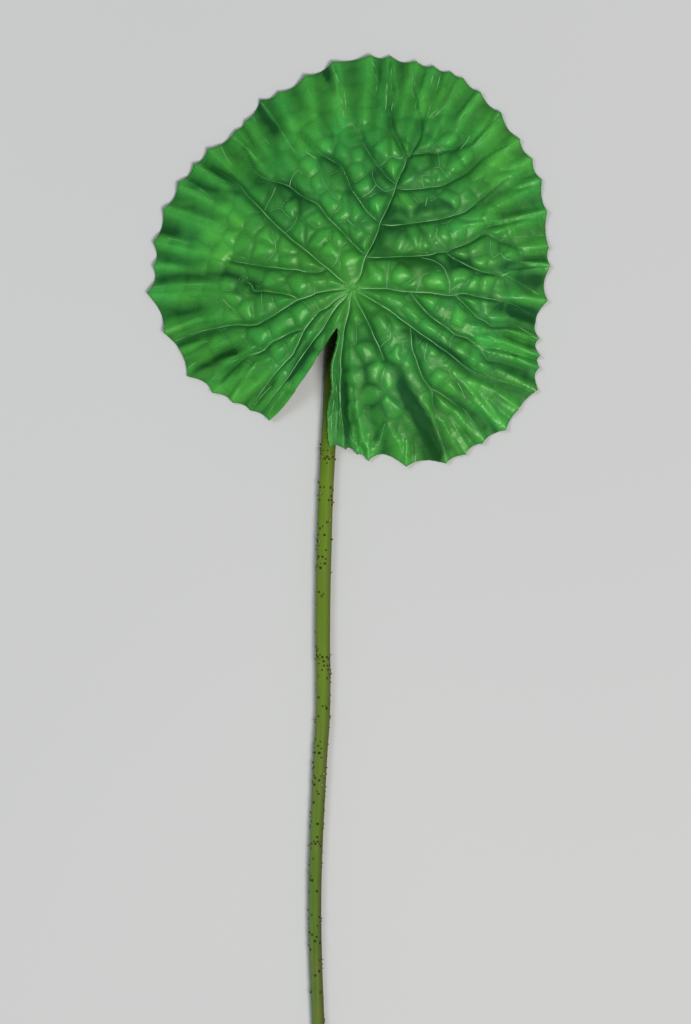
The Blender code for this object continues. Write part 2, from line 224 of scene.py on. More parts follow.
# Thorns: height and its range in shares, profile as shares of height and width at each level, where
# they root in shares of the stem's radius, and how they gather in clusters.
THORN_HEIGHT = 1.3 * MM
THORN_HEIGHTS = (0.4, 1.05)
THORN_RADII = (0.38 * MM, 0.95 * MM)
THORN_LEAN = 0.5
THORN_PROFILE = ((0.0, 1.25), (0.3, 0.85), (0.7, 0.5), (1.0, 0.12))
THORN_SIDES = 8
THORN_ROOT = 0.93
THORN_BASE = 0.05
THORN_COUNT = 300
THORN_SEED = 7
THORN_SPACING = 1.9 * MM
THORN_SPREAD = math.radians(140.0)
THORN_CLUSTER = 0.62
CLUSTER_ALONG = 0.007
CLUSTER_ROUND = 0.7

# Tips of the teeth, clockwise from the lobe left of the notch, with the dip to the next tip.
TEETH = [
    (268.8, 420.9, 3.0), (250.2, 410.7, 3.0), (232.4, 402.9, 3.8), (212.1, 393.1, 6.0),
    (187.3, 376.6, 2.0), (182.0, 354.0, 2.5), (163.8, 333.2, 6.6), (146.9, 293.1, 5.3),
    (153.4, 266.9, 4.0), (153.4, 242.7, 4.5), (163.2, 209.4, 4.5), (178.1, 182.5, 3.5),
    (193.7, 164.8, 3.0), (207.6, 149.4, 4.5), (235.3, 130.8, 2.0), (245.7, 121.0, 3.5),
    (260.4, 99.8, 3.0), (278.2, 92.4, 4.5), (305.5, 75.5, 4.5), (333.2, 61.8, 3.0),
    (371.0, 55.4, 3.0), (390.5, 56.3, 4.0), (416.3, 61.5, 3.0), (434.0, 66.2, 3.0),
    (451.1, 71.7, 2.0), (463.3, 78.2, 3.0), (480.5, 92.1, 4.0), (501.0, 112.4, 4.5),
    (519.7, 138.9, 3.5), (532.4, 158.8, 3.5), (542.0, 180.0, 4.0), (547.2, 211.6, 3.6),
    (548.9, 248.0, 2.7), (550.6, 266.6, 6.0), (547.7, 301.1, 3.4), (535.6, 322.9, 3.0),
    (539.6, 338.5, 5.0), (540.5, 355.8, 3.4), (539.6, 367.5, 4.8), (538.2, 389.9, 2.6),
    (518.3, 410.2, 2.2), (505.9, 430.4, 4.0), (482.3, 443.9, 3.5), (465.7, 454.7, 2.7),
    (445.5, 463.7, 6.4), (406.1, 467.0, 11.0), (368.4, 461.4, 3.5), (357.6, 454.9, 4.2),
    (346.3, 449.7, 4.0), (331.2, 448.4, 0.0),
]

# The two edges of the notch, from its inner end out to the lobes.
NOTCH_LEFT = [
    (336.7, 329.0), (330.6, 337.1), (326.3, 343.6), (319.8, 353.6), (310.7, 368.3),
    (300.0, 383.8), (290.1, 398.5), (280.1, 410.7), (268.8, 420.9),
]
NOTCH_RIGHT = [
    (336.7, 329.0), (338.4, 331.9), (338.4, 338.0), (336.7, 346.7), (334.1, 356.2),
    (331.5, 365.0), (331.3, 376.0), (332.2, 386.0), (331.4, 394.0), (329.6, 402.0),
    (328.0, 412.0), (327.7, 430.0), (328.6, 443.0), (331.2, 448.4),
]

# Veins, each from its inner end outwards. Main ones leave the hub or fork from one that does.
MAIN_VEINS = [
    [(352, 291), (360, 277), (363, 265), (366, 257), (372, 246), (378, 232), (380, 224), (386, 212),
     (393, 196), (396, 186), (400, 176), (404, 168), (407, 158)],
    [(352, 291), (362, 290), (386, 290), (395, 291.5), (408, 293), (430, 294), (449, 296.5),
     (463, 294.5), (478, 297.5), (497, 301), (516, 306), (535, 317)],
    [(352, 291), (361, 295), (370, 300), (380, 306), (390, 312), (400, 320), (410, 327),
     (420, 334.5), (430, 341), (438, 347), (447, 353), (455, 359.5), (463, 366), (472, 372),
     (485, 377), (500, 382), (515, 386), (535, 391)],
    [(352, 291), (357, 303), (362, 312), (366, 320), (370, 328), (374, 338), (379, 348), (384, 361)],
    [(352, 291), (350, 300), (349, 311), (346, 322), (343.5, 334), (342.5, 345), (341, 356),
     (340.5, 365), (341, 372), (340, 385), (341, 410), (345, 444)],
    [(352, 291), (343, 301), (338, 306), (332, 314), (328, 321), (322, 331), (313, 342), (300, 360),
     (288, 378), (272, 398), (262, 412)],
    [(352, 291), (345, 296), (336, 301), (328, 308), (320, 312), (316, 316), (311, 322), (305, 330),
     (301, 338), (297, 347), (292, 356), (285, 363), (277, 372), (268, 383), (252, 406)],
    [(352, 291), (346, 290), (335, 291), (325, 292.5), (317, 294), (311, 297), (303, 299.5),
     (298, 301), (290, 306), (282, 311), (273, 317), (265, 321), (258, 325), (250, 326),
     (240, 325.5), (230, 326), (220, 328), (205, 331), (180, 341)],
    [(352, 291), (347, 286), (338, 279), (328, 270), (320, 264), (310, 255), (300, 247), (292, 241),
     (286, 235), (278, 228), (268, 218), (262, 211), (254, 203), (248, 197), (243, 190), (237, 184),
     (230, 179), (212, 168)],
]
SIDE_VEINS = [
    [(406, 157), (404, 155), (399, 145), (395, 137), (392, 128), (391, 120), (388, 110), (387, 100),
     (386, 85), (389, 64)],
    [(406, 157), (409, 158), (413, 151), (417, 145), (420, 137), (421, 128), (420, 122), (418, 113),
     (416, 104), (415, 98), (413, 88)],
    [(366, 257), (359, 251), (350, 242), (343, 234), (335, 226), (328, 219), (318, 206), (308, 201),
     (300, 196), (290, 188), (280, 184), (268, 181), (256, 173), (250, 162), (243, 148)],
    [(379, 224), (372, 218), (366, 212), (360, 203), (351, 190), (349, 184), (345, 175), (341, 168),
     (332, 162), (322, 156), (312, 146), (300, 132)],
    [(396, 186), (388, 180), (382, 172), (378, 168), (374, 162), (370, 156), (366, 150), (362, 141)],
    [(397, 190), (405, 191), (420, 190), (430, 188.5), (440, 187.5), (448, 184), (455, 180),
     (463, 176), (470, 171), (478, 163), (487, 156), (505, 146)],
    [(381, 226), (390, 227), (397, 226.5), (410, 225), (430, 222), (442, 220), (452, 217),
     (463, 213.5), (470, 209), (478, 202), (482, 199), (490, 192), (508, 178)],
    [(367, 259), (380, 259), (400, 258), (415, 257.5), (430, 256), (438, 253.5), (446, 253),
     (452, 250), (460, 247), (468, 244), (478, 238), (485, 235), (497, 240), (503, 243),
     (512, 245.5), (519, 254), (527, 257), (541, 256)],
    [(446, 254), (452, 259), (460, 263), (470, 268), (480, 272), (490, 274), (505, 277), (515, 280),
     (530, 290)],
    [(410, 156), (430, 154), (437, 155), (445, 152), (455, 150), (458, 147), (470, 145), (478, 138),
     (490, 125), (499, 115)],
    [(410, 293), (412, 297), (417, 303), (423, 310), (430, 317), (438, 323), (447, 329), (454, 335),
     (460, 337), (467, 339), (473, 344), (480, 348.5), (490, 349.5), (500, 351.5), (515, 356)],
    [(454, 296), (462, 303), (470, 311), (477, 318), (485, 322), (492, 327), (505, 327), (520, 329),
     (532, 336)],
    [(480, 349), (484, 356), (488, 361), (495, 362), (505, 364), (525, 370)],
    [(410, 328), (411, 340), (412, 350), (415, 358), (418, 367), (421, 375), (424, 381), (428, 386),
     (432, 393), (433, 410), (435, 420), (439, 432), (443, 444)],
    [(430, 389), (440, 394), (450, 401), (458, 407), (465, 412), (470, 418), (477, 429)],
    [(305, 330), (298, 331), (288, 335), (280, 339), (272, 343), (266, 349), (260, 353), (250, 356),
     (240, 362), (222, 381)],
    [(298, 300), (292, 297), (285, 295), (275, 293.5), (265, 292), (255, 292), (252, 286),
     (247, 283)],
    [(326, 271), (318, 273.5), (305, 273), (298, 271), (288, 270.5), (278, 269), (268, 268),
     (258, 266.5), (250, 265), (232, 262)],
]
FINE_VEINS = [
    [(378, 168), (383, 165), (388, 160), (392, 158), (400, 160), (404, 156)],
    [(395, 190), (386, 193), (380, 190), (376, 186), (373, 180), (372, 172)],
    [(376, 186), (371, 193), (362, 199)],
    [(421, 176), (423, 189)],
    [(421, 177), (430, 177), (434, 175)],
    [(439, 168), (444, 175), (449, 180)],
    [(438, 155), (439, 168), (434, 169)],
    [(427, 198), (425, 208)],
    [(437, 229), (436, 238), (441, 244), (446, 250)],
    [(421, 238), (419, 250)],
    [(408, 245), (404, 251)],
    [(490, 240), (490, 250), (493, 258), (500, 253)],
    [(500, 253), (504, 259), (512, 261)],
    [(427, 117), (431, 107), (436, 95), (440, 80)],
    [(386.5, 290), (386.5, 283), (388, 270), (389, 262)],
    [(416, 292), (418, 287), (421, 278), (428, 274)],
    [(449, 296), (449, 285), (446, 275), (442, 268), (433, 262), (420, 259)],
    [(450, 292), (456, 287), (462, 284)],
    [(454, 335), (450, 341), (449, 349)],
    [(474, 331), (481, 333), (487, 332), (490, 328)],
    [(466, 323), (470, 329), (473, 323)],
    [(443, 322), (446, 313), (449, 308)],
    [(396, 341), (402, 342.5), (409, 341)],
    [(402, 343), (403, 350), (401, 355)],
    [(427, 343), (425, 352), (425, 361), (435, 363), (442, 362.5), (448, 358)],
    [(457, 383), (461, 390), (465, 400)],
    [(487, 391), (492, 388)],
    [(380, 348), (385, 343), (390, 339), (390, 333)],
    [(315, 294), (315, 288)],
    [(262, 293), (262, 303), (264, 311)],
    [(223, 300), (230, 307), (235, 311), (237, 315)],
    [(320, 312), (316, 305), (314, 301)],
    [(286, 234), (293, 228), (297, 220), (297, 216)],
    [(265, 212), (267, 207), (273, 196), (276, 188)],
    [(272, 231), (276, 247), (274, 255), (268, 262)],
    [(347, 243), (341, 249), (338, 257), (336, 264), (331, 269)],
    [(290, 188), (291, 182), (295, 175), (299, 172), (303, 176)],
    [(322, 178), (324, 185), (327, 189), (332, 197), (340, 204), (341, 208), (337, 213),
     (333, 215)],
    [(327, 189), (320, 190)],
    [(311, 226), (316, 229), (320, 229), (326, 225)],
    [(347, 221), (355, 229)],
    [(361, 224), (367, 221)],
]

# Folds of the blade, from the inner end outwards: height in millimetres, less than nothing for a
# valley, reach to each side in pixels, and the line of its lit or shaded side.
FOLDS = [
    (1.3, 1.8, [(300, 160), (292, 149), (284, 136), (277, 124), (268, 112), (256, 96)]),
    (-2.2, 5.5, [(284, 146), (277, 134), (268, 120), (261, 108), (254, 97)]),
    (0.7, 2.5, [(270, 146), (263, 136), (257, 125), (250, 110)]),
    (-1.0, 2.2, [(257, 153), (251, 142), (246, 132), (239, 119)]),
    (1.0, 1.8, [(264, 168), (256, 159), (248, 150), (240, 143), (226, 131)]),
    (-1.4, 3.0, [(262, 161), (252, 149), (243, 141), (231, 129)]),
    (-0.9, 2.5, [(258, 171), (252, 161), (246, 152), (234, 138)]),
    (0.8, 3.0, [(232, 167), (226, 157), (221, 147), (215, 136)]),
    (-0.9, 3.0, [(245, 184), (232, 179), (219, 173), (205, 165), (194, 156)]),
    (0.8, 3.5, [(226, 183), (213, 176), (203, 170), (188, 161)]),
    (-1.8, 4.0, [(245, 195), (232, 193), (216, 190), (200, 186), (184, 176)]),
    (0.8, 2.2, [(212, 199), (204, 192), (194, 185), (182, 178), (174, 172)]),
    (-1.2, 3.0, [(200, 190), (190, 187), (177, 184), (168, 181)]),
    (0.7, 3.0, [(215, 203), (200, 196), (188, 191), (170, 186)]),
    (-0.8, 3.0, [(200, 206), (188, 208), (177, 207), (163, 203)]),
    (1.0, 2.2, [(222, 227), (212, 222), (200, 218), (188, 213), (175, 209), (155, 204)]),
    (-0.8, 6.0, [(198, 229), (184, 225), (174, 222), (156, 217)]),
    (1.0, 2.0, [(190, 244), (178, 240.5), (166, 238.5), (148, 236)]),
    (-1.0, 2.5, [(202, 249), (190, 247), (180, 244), (166, 242)]),
    (-1.2, 4.0, [(185, 235), (174, 233), (162, 231), (148, 229)]),
    (-0.8, 4.0, [(204, 269), (190, 266), (174, 261), (160, 256), (144, 251)]),
    (1.0, 4.0, [(180, 267), (168, 267), (158, 266.5), (144, 266)]),
    (-1.7, 6.0, [(252, 282), (240, 278), (225, 276), (205, 276), (185, 276), (168, 277), (148, 278)]),
    (1.2, 3.5, [(242, 288), (228, 286), (210, 285), (190, 285), (172, 285.5), (158, 287), (138, 290)]),
    (-0.8, 4.0, [(214, 307), (198, 310), (182, 313), (166, 318), (156, 322)]),
    (1.1, 2.0, [(208, 317.5), (198, 320), (188, 324), (178, 328), (158, 335)]),
    (-1.3, 3.0, [(228, 322), (212, 323), (200, 324), (188, 328), (176, 333), (164, 341)]),
    (0.8, 3.0, [(215, 329), (203, 331), (190, 335), (176, 341), (164, 347)]),
    (-0.9, 2.5, [(202, 338), (190, 342), (172, 348)]),
    (0.7, 2.5, [(210, 341), (200, 344), (190, 347), (180, 351), (170, 356)]),
    (-1.4, 2.5, [(214, 340), (204, 345), (194, 351), (184, 356), (172, 362)]),
    (0.8, 4.0, [(225, 348), (210, 354), (198, 361), (186, 370), (174, 379)]),
    (-2.4, 5.0, [(252, 347), (236, 353), (222, 358), (210, 364), (198, 371), (184, 381)]),
    (1.8, 4.5, [(268, 350), (255, 354), (242, 358), (230, 364), (220, 372), (210, 382), (200, 396)]),
    (-0.8, 2.0, [(252, 356), (242, 361), (235, 367), (228, 374), (220, 384)]),
    (-1.0, 2.2, [(262, 357), (254, 364), (248, 372), (241, 381), (233, 391), (226, 401)]),
    (1.0, 2.5, [(258, 362), (251, 371), (245, 381), (238, 391), (228, 406)]),
    (-1.2, 3.0, [(280, 370), (272, 377), (264, 385), (256, 393), (248, 401), (241, 413)]),
    (-1.6, 3.5, [(284, 372), (276, 381), (270, 389), (263, 398), (256, 407), (248, 419)]),
    (0.7, 2.0, [(272, 386), (264, 394), (257, 402), (248, 414)]),
    (1.4, 5.0, [(304, 364), (292, 381), (282, 395), (273, 407), (262, 424)]),
    (1.2, 1.8, [(334, 374), (336, 385), (337, 395), (337, 410), (336, 425), (335, 438)]),
    (-1.0, 1.5, [(338.5, 390), (338.8, 405), (338.5, 418), (337.5, 434)]),
    (0.9, 1.5, [(340.5, 393), (340.3, 410), (340, 427)]),
    (-1.1, 3.5, [(346, 348), (345, 362), (346, 375), (345, 390), (346, 405), (347, 420), (348, 456)]),
    (0.6, 2.5, [(351, 383), (352, 398), (354, 410)]),
    (-0.9, 2.5, [(353, 403), (352, 420), (351, 435), (351, 458)]),
    (0.7, 2.0, [(343, 423), (343, 440), (344, 458)]),
    (0.8, 1.8, [(361, 436), (360, 447), (357, 462)]),
    (0.8, 1.8, [(374, 430), (371, 441), (369, 451), (367, 468)]),
    (-0.8, 2.0, [(377, 428), (374, 441), (372, 452), (373, 466)]),
    (0.8, 2.5, [(385, 423), (381, 437), (377, 450), (374, 465)]),
    (-0.8, 2.0, [(389, 428), (385, 442), (381, 460)]),
    (1.2, 2.5, [(408, 430), (408, 444), (408, 456), (407, 474)]),
    (-0.9, 1.8, [(404, 436), (404, 455), (403, 474)]),
    (-0.9, 1.8, [(411.5, 436), (413, 452), (413, 472)]),
    (0.6, 3.0, [(418, 438), (418, 452), (418, 468)]),
    (-3.2, 7.0, [(384, 352), (390, 362), (397, 374), (403, 388), (409, 400), (416, 414), (424, 430),
                 (432, 446), (440, 462), (447, 480)]),
    (1.6, 3.0, [(428, 394), (430, 404), (432, 414), (435, 424), (439, 436), (443, 446), (451, 470)]),
    (-1.2, 2.5, [(446, 416), (451, 430), (455, 440), (461, 450), (470, 466)]),
    (1.2, 1.8, [(450, 418), (456, 428), (461, 436), (466, 444), (476, 460)]),
    (-0.9, 2.0, [(458, 422), (466, 434), (472, 441), (482, 454)]),
    (1.0, 2.0, [(462, 408), (468, 415), (473, 422), (478, 430), (488, 446)]),
    (-1.0, 3.0, [(450, 402), (460, 407), (470, 413), (480, 421), (492, 440)]),
    (-1.6, 4.0, [(452, 378), (460, 386), (468, 396), (476, 406), (485, 417), (495, 429), (506, 444)]),
    (1.2, 2.5, [(452, 374), (460, 381), (468, 389), (476, 398), (484, 408), (492, 418), (510, 440)]),
    (-0.8, 1.5, [(470, 393), (480, 404), (490, 415), (498, 424), (508, 436)]),
    (0.9, 2.0, [(480, 392), (488, 402), (496, 413), (504, 424), (514, 438)]),
    (-0.8, 2.0, [(487, 388), (495, 395), (503, 402), (512, 408), (528, 416)]),
    (-1.6, 3.5, [(450, 362), (460, 370), (470, 376), (482, 382), (496, 387)]),
    (1.0, 3.0, [(470, 367), (482, 373), (495, 379), (508, 383), (522, 388), (546, 398)]),
    (-2.0, 5.0, [(480, 364), (495, 368), (510, 372), (524, 378), (548, 387)]),
    (1.4, 2.5, [(510, 356), (520, 361), (530, 365), (548, 371)]),
    (-1.0, 1.8, [(488, 348), (505, 352), (520, 356), (532, 359), (548, 362)]),
    (1.8, 3.0, [(486, 336), (497, 341), (507, 345), (518, 349), (530, 353), (548, 359)]),
    (-1.4, 3.0, [(493, 331), (508, 337), (520, 342), (533, 347), (548, 351)]),
    (0.8, 1.8, [(515, 325), (525, 331), (533, 336), (547, 343)]),
    (-2.2, 6.0, [(498, 304), (508, 309), (520, 314), (532, 319), (548, 327)]),
    (-1.2, 3.0, [(516, 302), (535, 307), (552, 306)]),
    (1.0, 2.0, [(516, 295), (530, 299), (540, 301), (556, 302)]),
    (-0.9, 2.0, [(520, 289), (535, 295), (554, 298)]),
    (0.7, 1.6, [(495, 271), (505, 276), (515, 281), (528, 288), (540, 296)]),
    (-1.2, 6.0, [(508, 275), (525, 278), (550, 275)]),
    (-1.3, 3.0, [(502, 271), (520, 270), (535, 268), (556, 269)]),
    (1.0, 1.8, [(519, 262.5), (538, 264), (558, 266)]),
    (-0.9, 1.8, [(517, 259), (535, 260), (556, 260)]),
    (-1.0, 1.8, [(517, 251), (535, 252), (556, 251)]),
    (0.9, 1.8, [(517, 248.5), (535, 247.5), (557, 246)]),
    (0.8, 6.0, [(500, 241), (515, 238), (530, 236), (552, 235)]),
    (-1.6, 3.0, [(476, 232), (495, 227), (515, 223), (530, 220), (552, 216)]),
    (1.6, 2.2, [(450, 227.5), (475, 226), (490, 224.5), (505, 222), (520, 218), (535, 214.5), (555, 209)]),
    (-1.0, 3.5, [(474, 217), (490, 215), (505, 214), (525, 212), (550, 207)]),
    (-1.1, 2.5, [(512, 193), (530, 188), (548, 182)]),
    (0.8, 2.0, [(512, 189), (530, 184), (549, 177)]),
    (-0.6, 2.0, [(508, 181), (525, 178), (546, 173)]),
    (-0.9, 2.5, [(488, 177), (505, 173), (520, 170), (540, 160)]),
    (0.8, 2.5, [(505, 169), (520, 163), (538, 154)]),
    (-0.8, 3.0, [(495, 160), (508, 155), (528, 144)]),
    (0.8, 2.0, [(502, 151), (514, 145), (527, 136)]),
    (-0.9, 3.0, [(488, 156), (500, 145), (518, 128)]),
    (1.0, 4.0, [(470, 155), (478, 146), (488, 137), (497, 129), (508, 118)]),
    (-0.9, 1.8, [(482, 142), (492, 131), (508, 114)]),
    (1.2, 1.8, [(472, 151), (480, 140), (488, 130), (494, 121), (506, 104)]),
    (-1.0, 2.5, [(468, 148), (478, 138), (486, 127), (500, 106)]),
    (-0.7, 2.0, [(461, 134), (468, 122), (475, 113), (490, 96)]),
    (1.1, 3.0, [(455, 135), (457, 127), (461, 118), (468, 109), (474, 101), (487, 84)]),
    (-0.9, 1.8, [(456, 118), (463, 108), (478, 88)]),
    (-0.7, 2.0, [(442, 119), (452, 107), (458, 95), (468, 74)]),
    (0.8, 2.0, [(431, 120), (440, 112), (447, 104), (451, 96), (456, 86), (466, 70)]),
    (-1.0, 3.0, [(444, 90), (448, 82), (456, 66)]),
    (-0.6, 2.0, [(435, 98), (441, 85), (443, 62)]),
    (0.6, 1.8, [(419, 97), (423, 90), (426, 80), (430, 60)]),
    (-0.8, 1.6, [(419, 117), (416, 103), (414, 90), (413, 56)]),
    (0.6, 1.8, [(413, 99), (411, 85), (411, 56)]),
    (-0.8, 3.0, [(402, 92), (402, 75), (402, 55)]),
    (0.7, 1.8, [(394, 108), (397, 95), (396, 80), (392, 52)]),
    (-0.9, 1.8, [(389, 117), (391, 100), (392, 85), (391, 52)]),
    (0.8, 2.0, [(386, 105), (386, 90), (388, 75), (387, 52)]),
    (-0.7, 2.5, [(378, 93), (380, 75), (375, 50)]),
    (0.7, 1.6, [(377, 85), (376, 78), (373, 68), (370, 49)]),
    (-0.8, 4.0, [(342, 138), (360, 135), (378, 129)]),
    (0.6, 1.5, [(356, 130), (352, 123), (348, 113), (345, 98)]),
    (-0.7, 1.6, [(346, 117), (343, 100), (337, 72), (334, 56)]),
    (1.1, 2.0, [(344, 120), (342, 110), (340, 95), (337, 80), (331, 64), (329, 56)]),
    (-1.6, 4.0, [(336, 101), (331, 85), (325, 72), (320, 60)]),
    (-0.9, 2.2, [(334, 158), (332, 140), (328, 128), (322, 117), (316, 104)]),
    (0.8, 1.8, [(315, 102), (309, 88), (303, 70)]),
    (-0.8, 3.0, [(294, 118), (285, 105), (276, 88)]),
]

# Painted highlights: thin pale lines along sharp creases of the blade and along its cut edges.
HIGHLIGHT_STREAKS = [
    [(336, 74), (338.6, 84), (341, 97), (342.5, 107), (345.2, 126)],
    [(343.9, 88), (345, 100), (347.2, 114), (351, 123), (355.8, 131)],
    [(372.4, 63), (376.4, 71), (376.8, 84), (376, 92)],
    [(386.3, 74), (387, 90), (386, 103), (385, 112)],
    [(391.5, 68), (391, 88), (393.5, 98), (391, 112)],
    [(415.2, 64), (412.8, 76), (412, 94), (416.2, 100), (414.8, 110)],
    [(421.5, 72), (418.8, 83), (420, 92), (416.5, 99)],
    [(433, 75), (431.5, 83), (434.5, 96), (430, 108), (426.8, 119)],
    [(440, 76), (438, 84), (436, 92)],
    [(448, 98), (444.7, 102), (435.4, 112), (428, 119)],
    [(338.2, 333), (339.2, 339), (337.6, 347), (335, 356), (332.6, 365), (332.2, 376), (333, 387),
     (332.2, 395)],
    [(334, 400), (332, 415), (331.4, 430)],
    [(339.5, 392), (340, 405), (339.4, 417)],
    [(460, 150), (466, 143), (470, 136)],
    [(300, 146), (310, 156), (318, 161)],
]

# Bands of painted light and, below nothing, painted shade: strength, reach in pixels and middle line.
LIGHT_SHADE_BANDS = [
    (-0.42, 11, [(372, 268), (382, 246), (390, 228), (398, 204)]),
    (-0.36, 9, [(384, 266), (410, 264), (436, 266), (478, 265)]),
    (-0.22, 8, [(396, 238), (414, 236), (432, 232)]),
    (-0.32, 8, [(398, 214), (424, 209), (458, 205)]),
    (-0.20, 8, [(404, 178), (424, 170), (440, 160)]),
    (-0.26, 13, [(366, 170), (376, 186), (384, 206)]),
    (-0.15, 8, [(350, 214), (358, 232), (364, 246)]),
    (-0.26, 5, [(352, 302), (385, 320), (419, 338), (470, 364)]),
    (-0.45, 8, [(396, 382), (408, 400), (418, 415), (427, 430), (435, 446), (444, 464)]),
    (-0.22, 10, [(342, 380), (343, 440)]),
    (-0.32, 12, [(358, 310), (366, 350), (374, 400), (396, 422)]),
    (-0.12, 6, [(448, 376), (462, 390), (474, 406)]),
    (-0.20, 7, [(488, 386), (506, 406)]),
    (-0.25, 8, [(484, 302), (504, 307)]),
    (-0.50, 8, [(504, 312), (520, 316), (540, 321)]),
    (-0.25, 8, [(486, 262), (515, 268), (545, 284)]),
    (-0.15, 9, [(197, 166), (242, 178), (286, 210), (324, 254)]),
    (-0.25, 9, [(274, 184), (290, 194), (308, 216)]),
    (-0.30, 9, [(282, 140), (268, 118), (256, 98)]),
    (-0.12, 10, [(178, 206), (168, 228), (160, 256)]),
    (-0.12, 5, [(160, 276), (200, 275), (250, 279)]),
    (-0.12, 6, [(268, 281), (300, 283)]),
    (-0.20, 9, [(228, 296), (245, 290), (266, 284)]),
    (-0.14, 12, [(172, 322), (194, 332), (214, 344)]),
    (-0.22, 6, [(190, 374), (212, 364), (240, 352)]),
    (-0.45, 4.5, [(316, 340), (311.7, 346.7), (303, 359.7), (294, 373.6), (286, 386)]),
    (0.22, 3.5, [(320, 351), (310, 364), (298.7, 379), (288, 393)]),
    (-0.40, 8, [(338, 68), (322, 76)]),
    (-0.08, 8, [(380, 84), (386, 110), (390, 134)]),
    (-0.15, 8, [(310, 152), (330, 168), (346, 190), (362, 216)]),
    (0.23, 18, [(198, 228), (216, 242), (232, 262)]),
    (0.20, 9, [(224, 200), (246, 226)]),
    (0.18, 7, [(242, 138), (262, 162)]),
    (0.16, 8, [(236, 166), (258, 178)]),
    (0.20, 10, [(338, 84), (342, 112), (340, 138)]),
    (0.32, 10, [(288, 114), (306, 136), (324, 158)]),
    (0.34, 16, [(472, 112), (490, 146), (504, 172), (502, 192)]),
    (0.18, 7, [(528, 158), (534, 176)]),
    (0.18, 9, [(445, 229), (470, 226), (496, 212)]),
    (0.18, 9, [(446, 309), (464, 325), (484, 338)]),
    (0.30, 9, [(466, 342), (482, 346), (500, 348), (530, 354)]),
    (-0.25, 9, [(378, 426), (398, 432)]),
    (0.18, 11, [(456, 366), (470, 384), (492, 412), (520, 420)]),
    (0.14, 6, [(376, 352), (384, 376), (390, 392)]),
    (0.22, 11, [(296, 356), (270, 378), (236, 388), (212, 392)]),
    (0.16, 6, [(206, 312), (242, 318)]),
    (0.14, 7, [(260, 341), (284, 333)]),
    (0.28, 7, [(414, 84), (418, 104), (418, 122)]),
    (0.15, 6, [(389, 88), (389, 120)]),
]

# Rounded swellings between the veins: place and height in millimetres.
SWELLINGS = [
    (394.5, 151.0, 1.2), (385.3, 152.0, 1.0), (357.9, 156.0, 1.0), (393.6, 169.7, 1.4),
    (366.1, 186.5, 1.5), (382.0, 184.0, 0.9), (379.0, 206.0, 1.5), (425.1, 110.8, 1.4),
    (451.0, 141.0, 2.0), (466.2, 158.0, 1.3), (455.0, 165.0, 1.2), (441.5, 160.0, 0.9),
    (438.8, 177.0, 1.0), (426.5, 180.0, 0.9), (326.4, 149.0, 1.2), (304.5, 116.0, 1.2),
    (342.9, 119.0, 1.0), (364.8, 116.0, 1.0), (311.3, 167.0, 1.4), (318.2, 182.0, 1.1),
    (292.1, 209.0, 1.6), (331.9, 206.7, 1.1), (342.9, 212.0, 1.0), (356.6, 214.0, 1.1),
    (315.4, 222.0, 1.0), (310.0, 233.0, 1.1), (356.6, 234.0, 1.2), (301.7, 232.0, 0.9),
    (267.5, 238.0, 1.5), (264.0, 250.0, 1.2), (230.5, 237.0, 1.2), (285.0, 249.0, 1.2),
    (341.5, 239.0, 1.2), (430.6, 232.0, 1.2), (416.9, 242.0, 1.3), (442.0, 236.0, 1.0),
    (375.0, 276.0, 1.3), (400.0, 276.0, 1.6), (434.0, 283.0, 1.6), (462.0, 279.0, 1.2),
    (473.0, 286.0, 1.2), (486.0, 286.0, 1.2), (500.0, 291.0, 0.9), (430.0, 303.0, 1.3),
    (458.0, 318.0, 1.6), (429.2, 327.0, 1.2), (488.1, 340.0, 1.4), (397.7, 326.0, 1.2),
    (430.6, 351.0, 1.1), (398.0, 353.0, 1.2), (366.1, 353.0, 1.6), (376.0, 372.0, 1.4),
    (370.3, 395.9, 1.4), (389.5, 407.0, 1.4), (438.8, 377.0, 1.2), (459.3, 352.0, 1.0),
    (449.8, 390.0, 1.0), (277.1, 352.0, 1.0), (258.0, 338.0, 1.2), (245.0, 311.0, 1.5),
    (271.6, 279.0, 1.2), (300.0, 284.0, 1.2), (303.0, 315.0, 1.2), (282.0, 325.0, 1.0),
    (314.0, 337.0, 0.9), (504.0, 247.0, 1.0), (509.0, 254.0, 0.9), (494.0, 248.0, 0.9),
    (481.0, 263.0, 1.0), (331.0, 252.0, 1.2), (318.0, 238.0, 1.0), (351.0, 262.0, 1.1),
    (410.0, 206.0, 1.2), (452.0, 200.0, 1.2), (386.0, 242.0, 1.0),
]

# Stem: centre line from the hub to the cut end, with the height of its axis where it climbs.
STEM_CLIMB = [
    (352.0, 291.0, 29.6), (352.0, 291.0, 26.5), (351.0, 294.2, 21.8), (349.0, 300.0, 17.4),
    (346.1, 309.0, 14.0), (341.8, 322.5, 11.0), (336.9, 338.5, 8.6), (333.2, 354.0, 6.9),
]
STEM_FLAT = [
    (331.9, 375.0), (330.4, 403.0), (328.3, 445.0), (325.6, 500.0), (324.1, 550.0),
    (323.1, 600.0), (322.8, 640.0), (323.3, 680.0), (322.7, 720.0), (320.4, 755.0),
    (318.2, 800.0), (316.0, 850.0), (314.9, 905.0), (315.7, 955.0), (317.4, 1000.0),
    (319.4, 1045.0), (321.8, 1090.0),
]

# Where the thorns stand: stretches of the stem as shares of its length, and how thick they are.
THORN_BANDS = [
    (0.21, 0.30, 0.8), (0.30, 0.36, 1.3), (0.36, 0.47, 0.35), (0.47, 0.55, 0.7),
    (0.55, 0.66, 1.1), (0.66, 0.86, 0.9), (0.86, 0.98, 0.5),
]


def smoothstep(low, high, value):
    part = np.clip((value - low) / (high - low), 0.0, 1.0)
    return part * part * (3.0 - 2.0 * part)


def bell(distance, reach):
    return np.exp(-((distance / reach) ** 2))


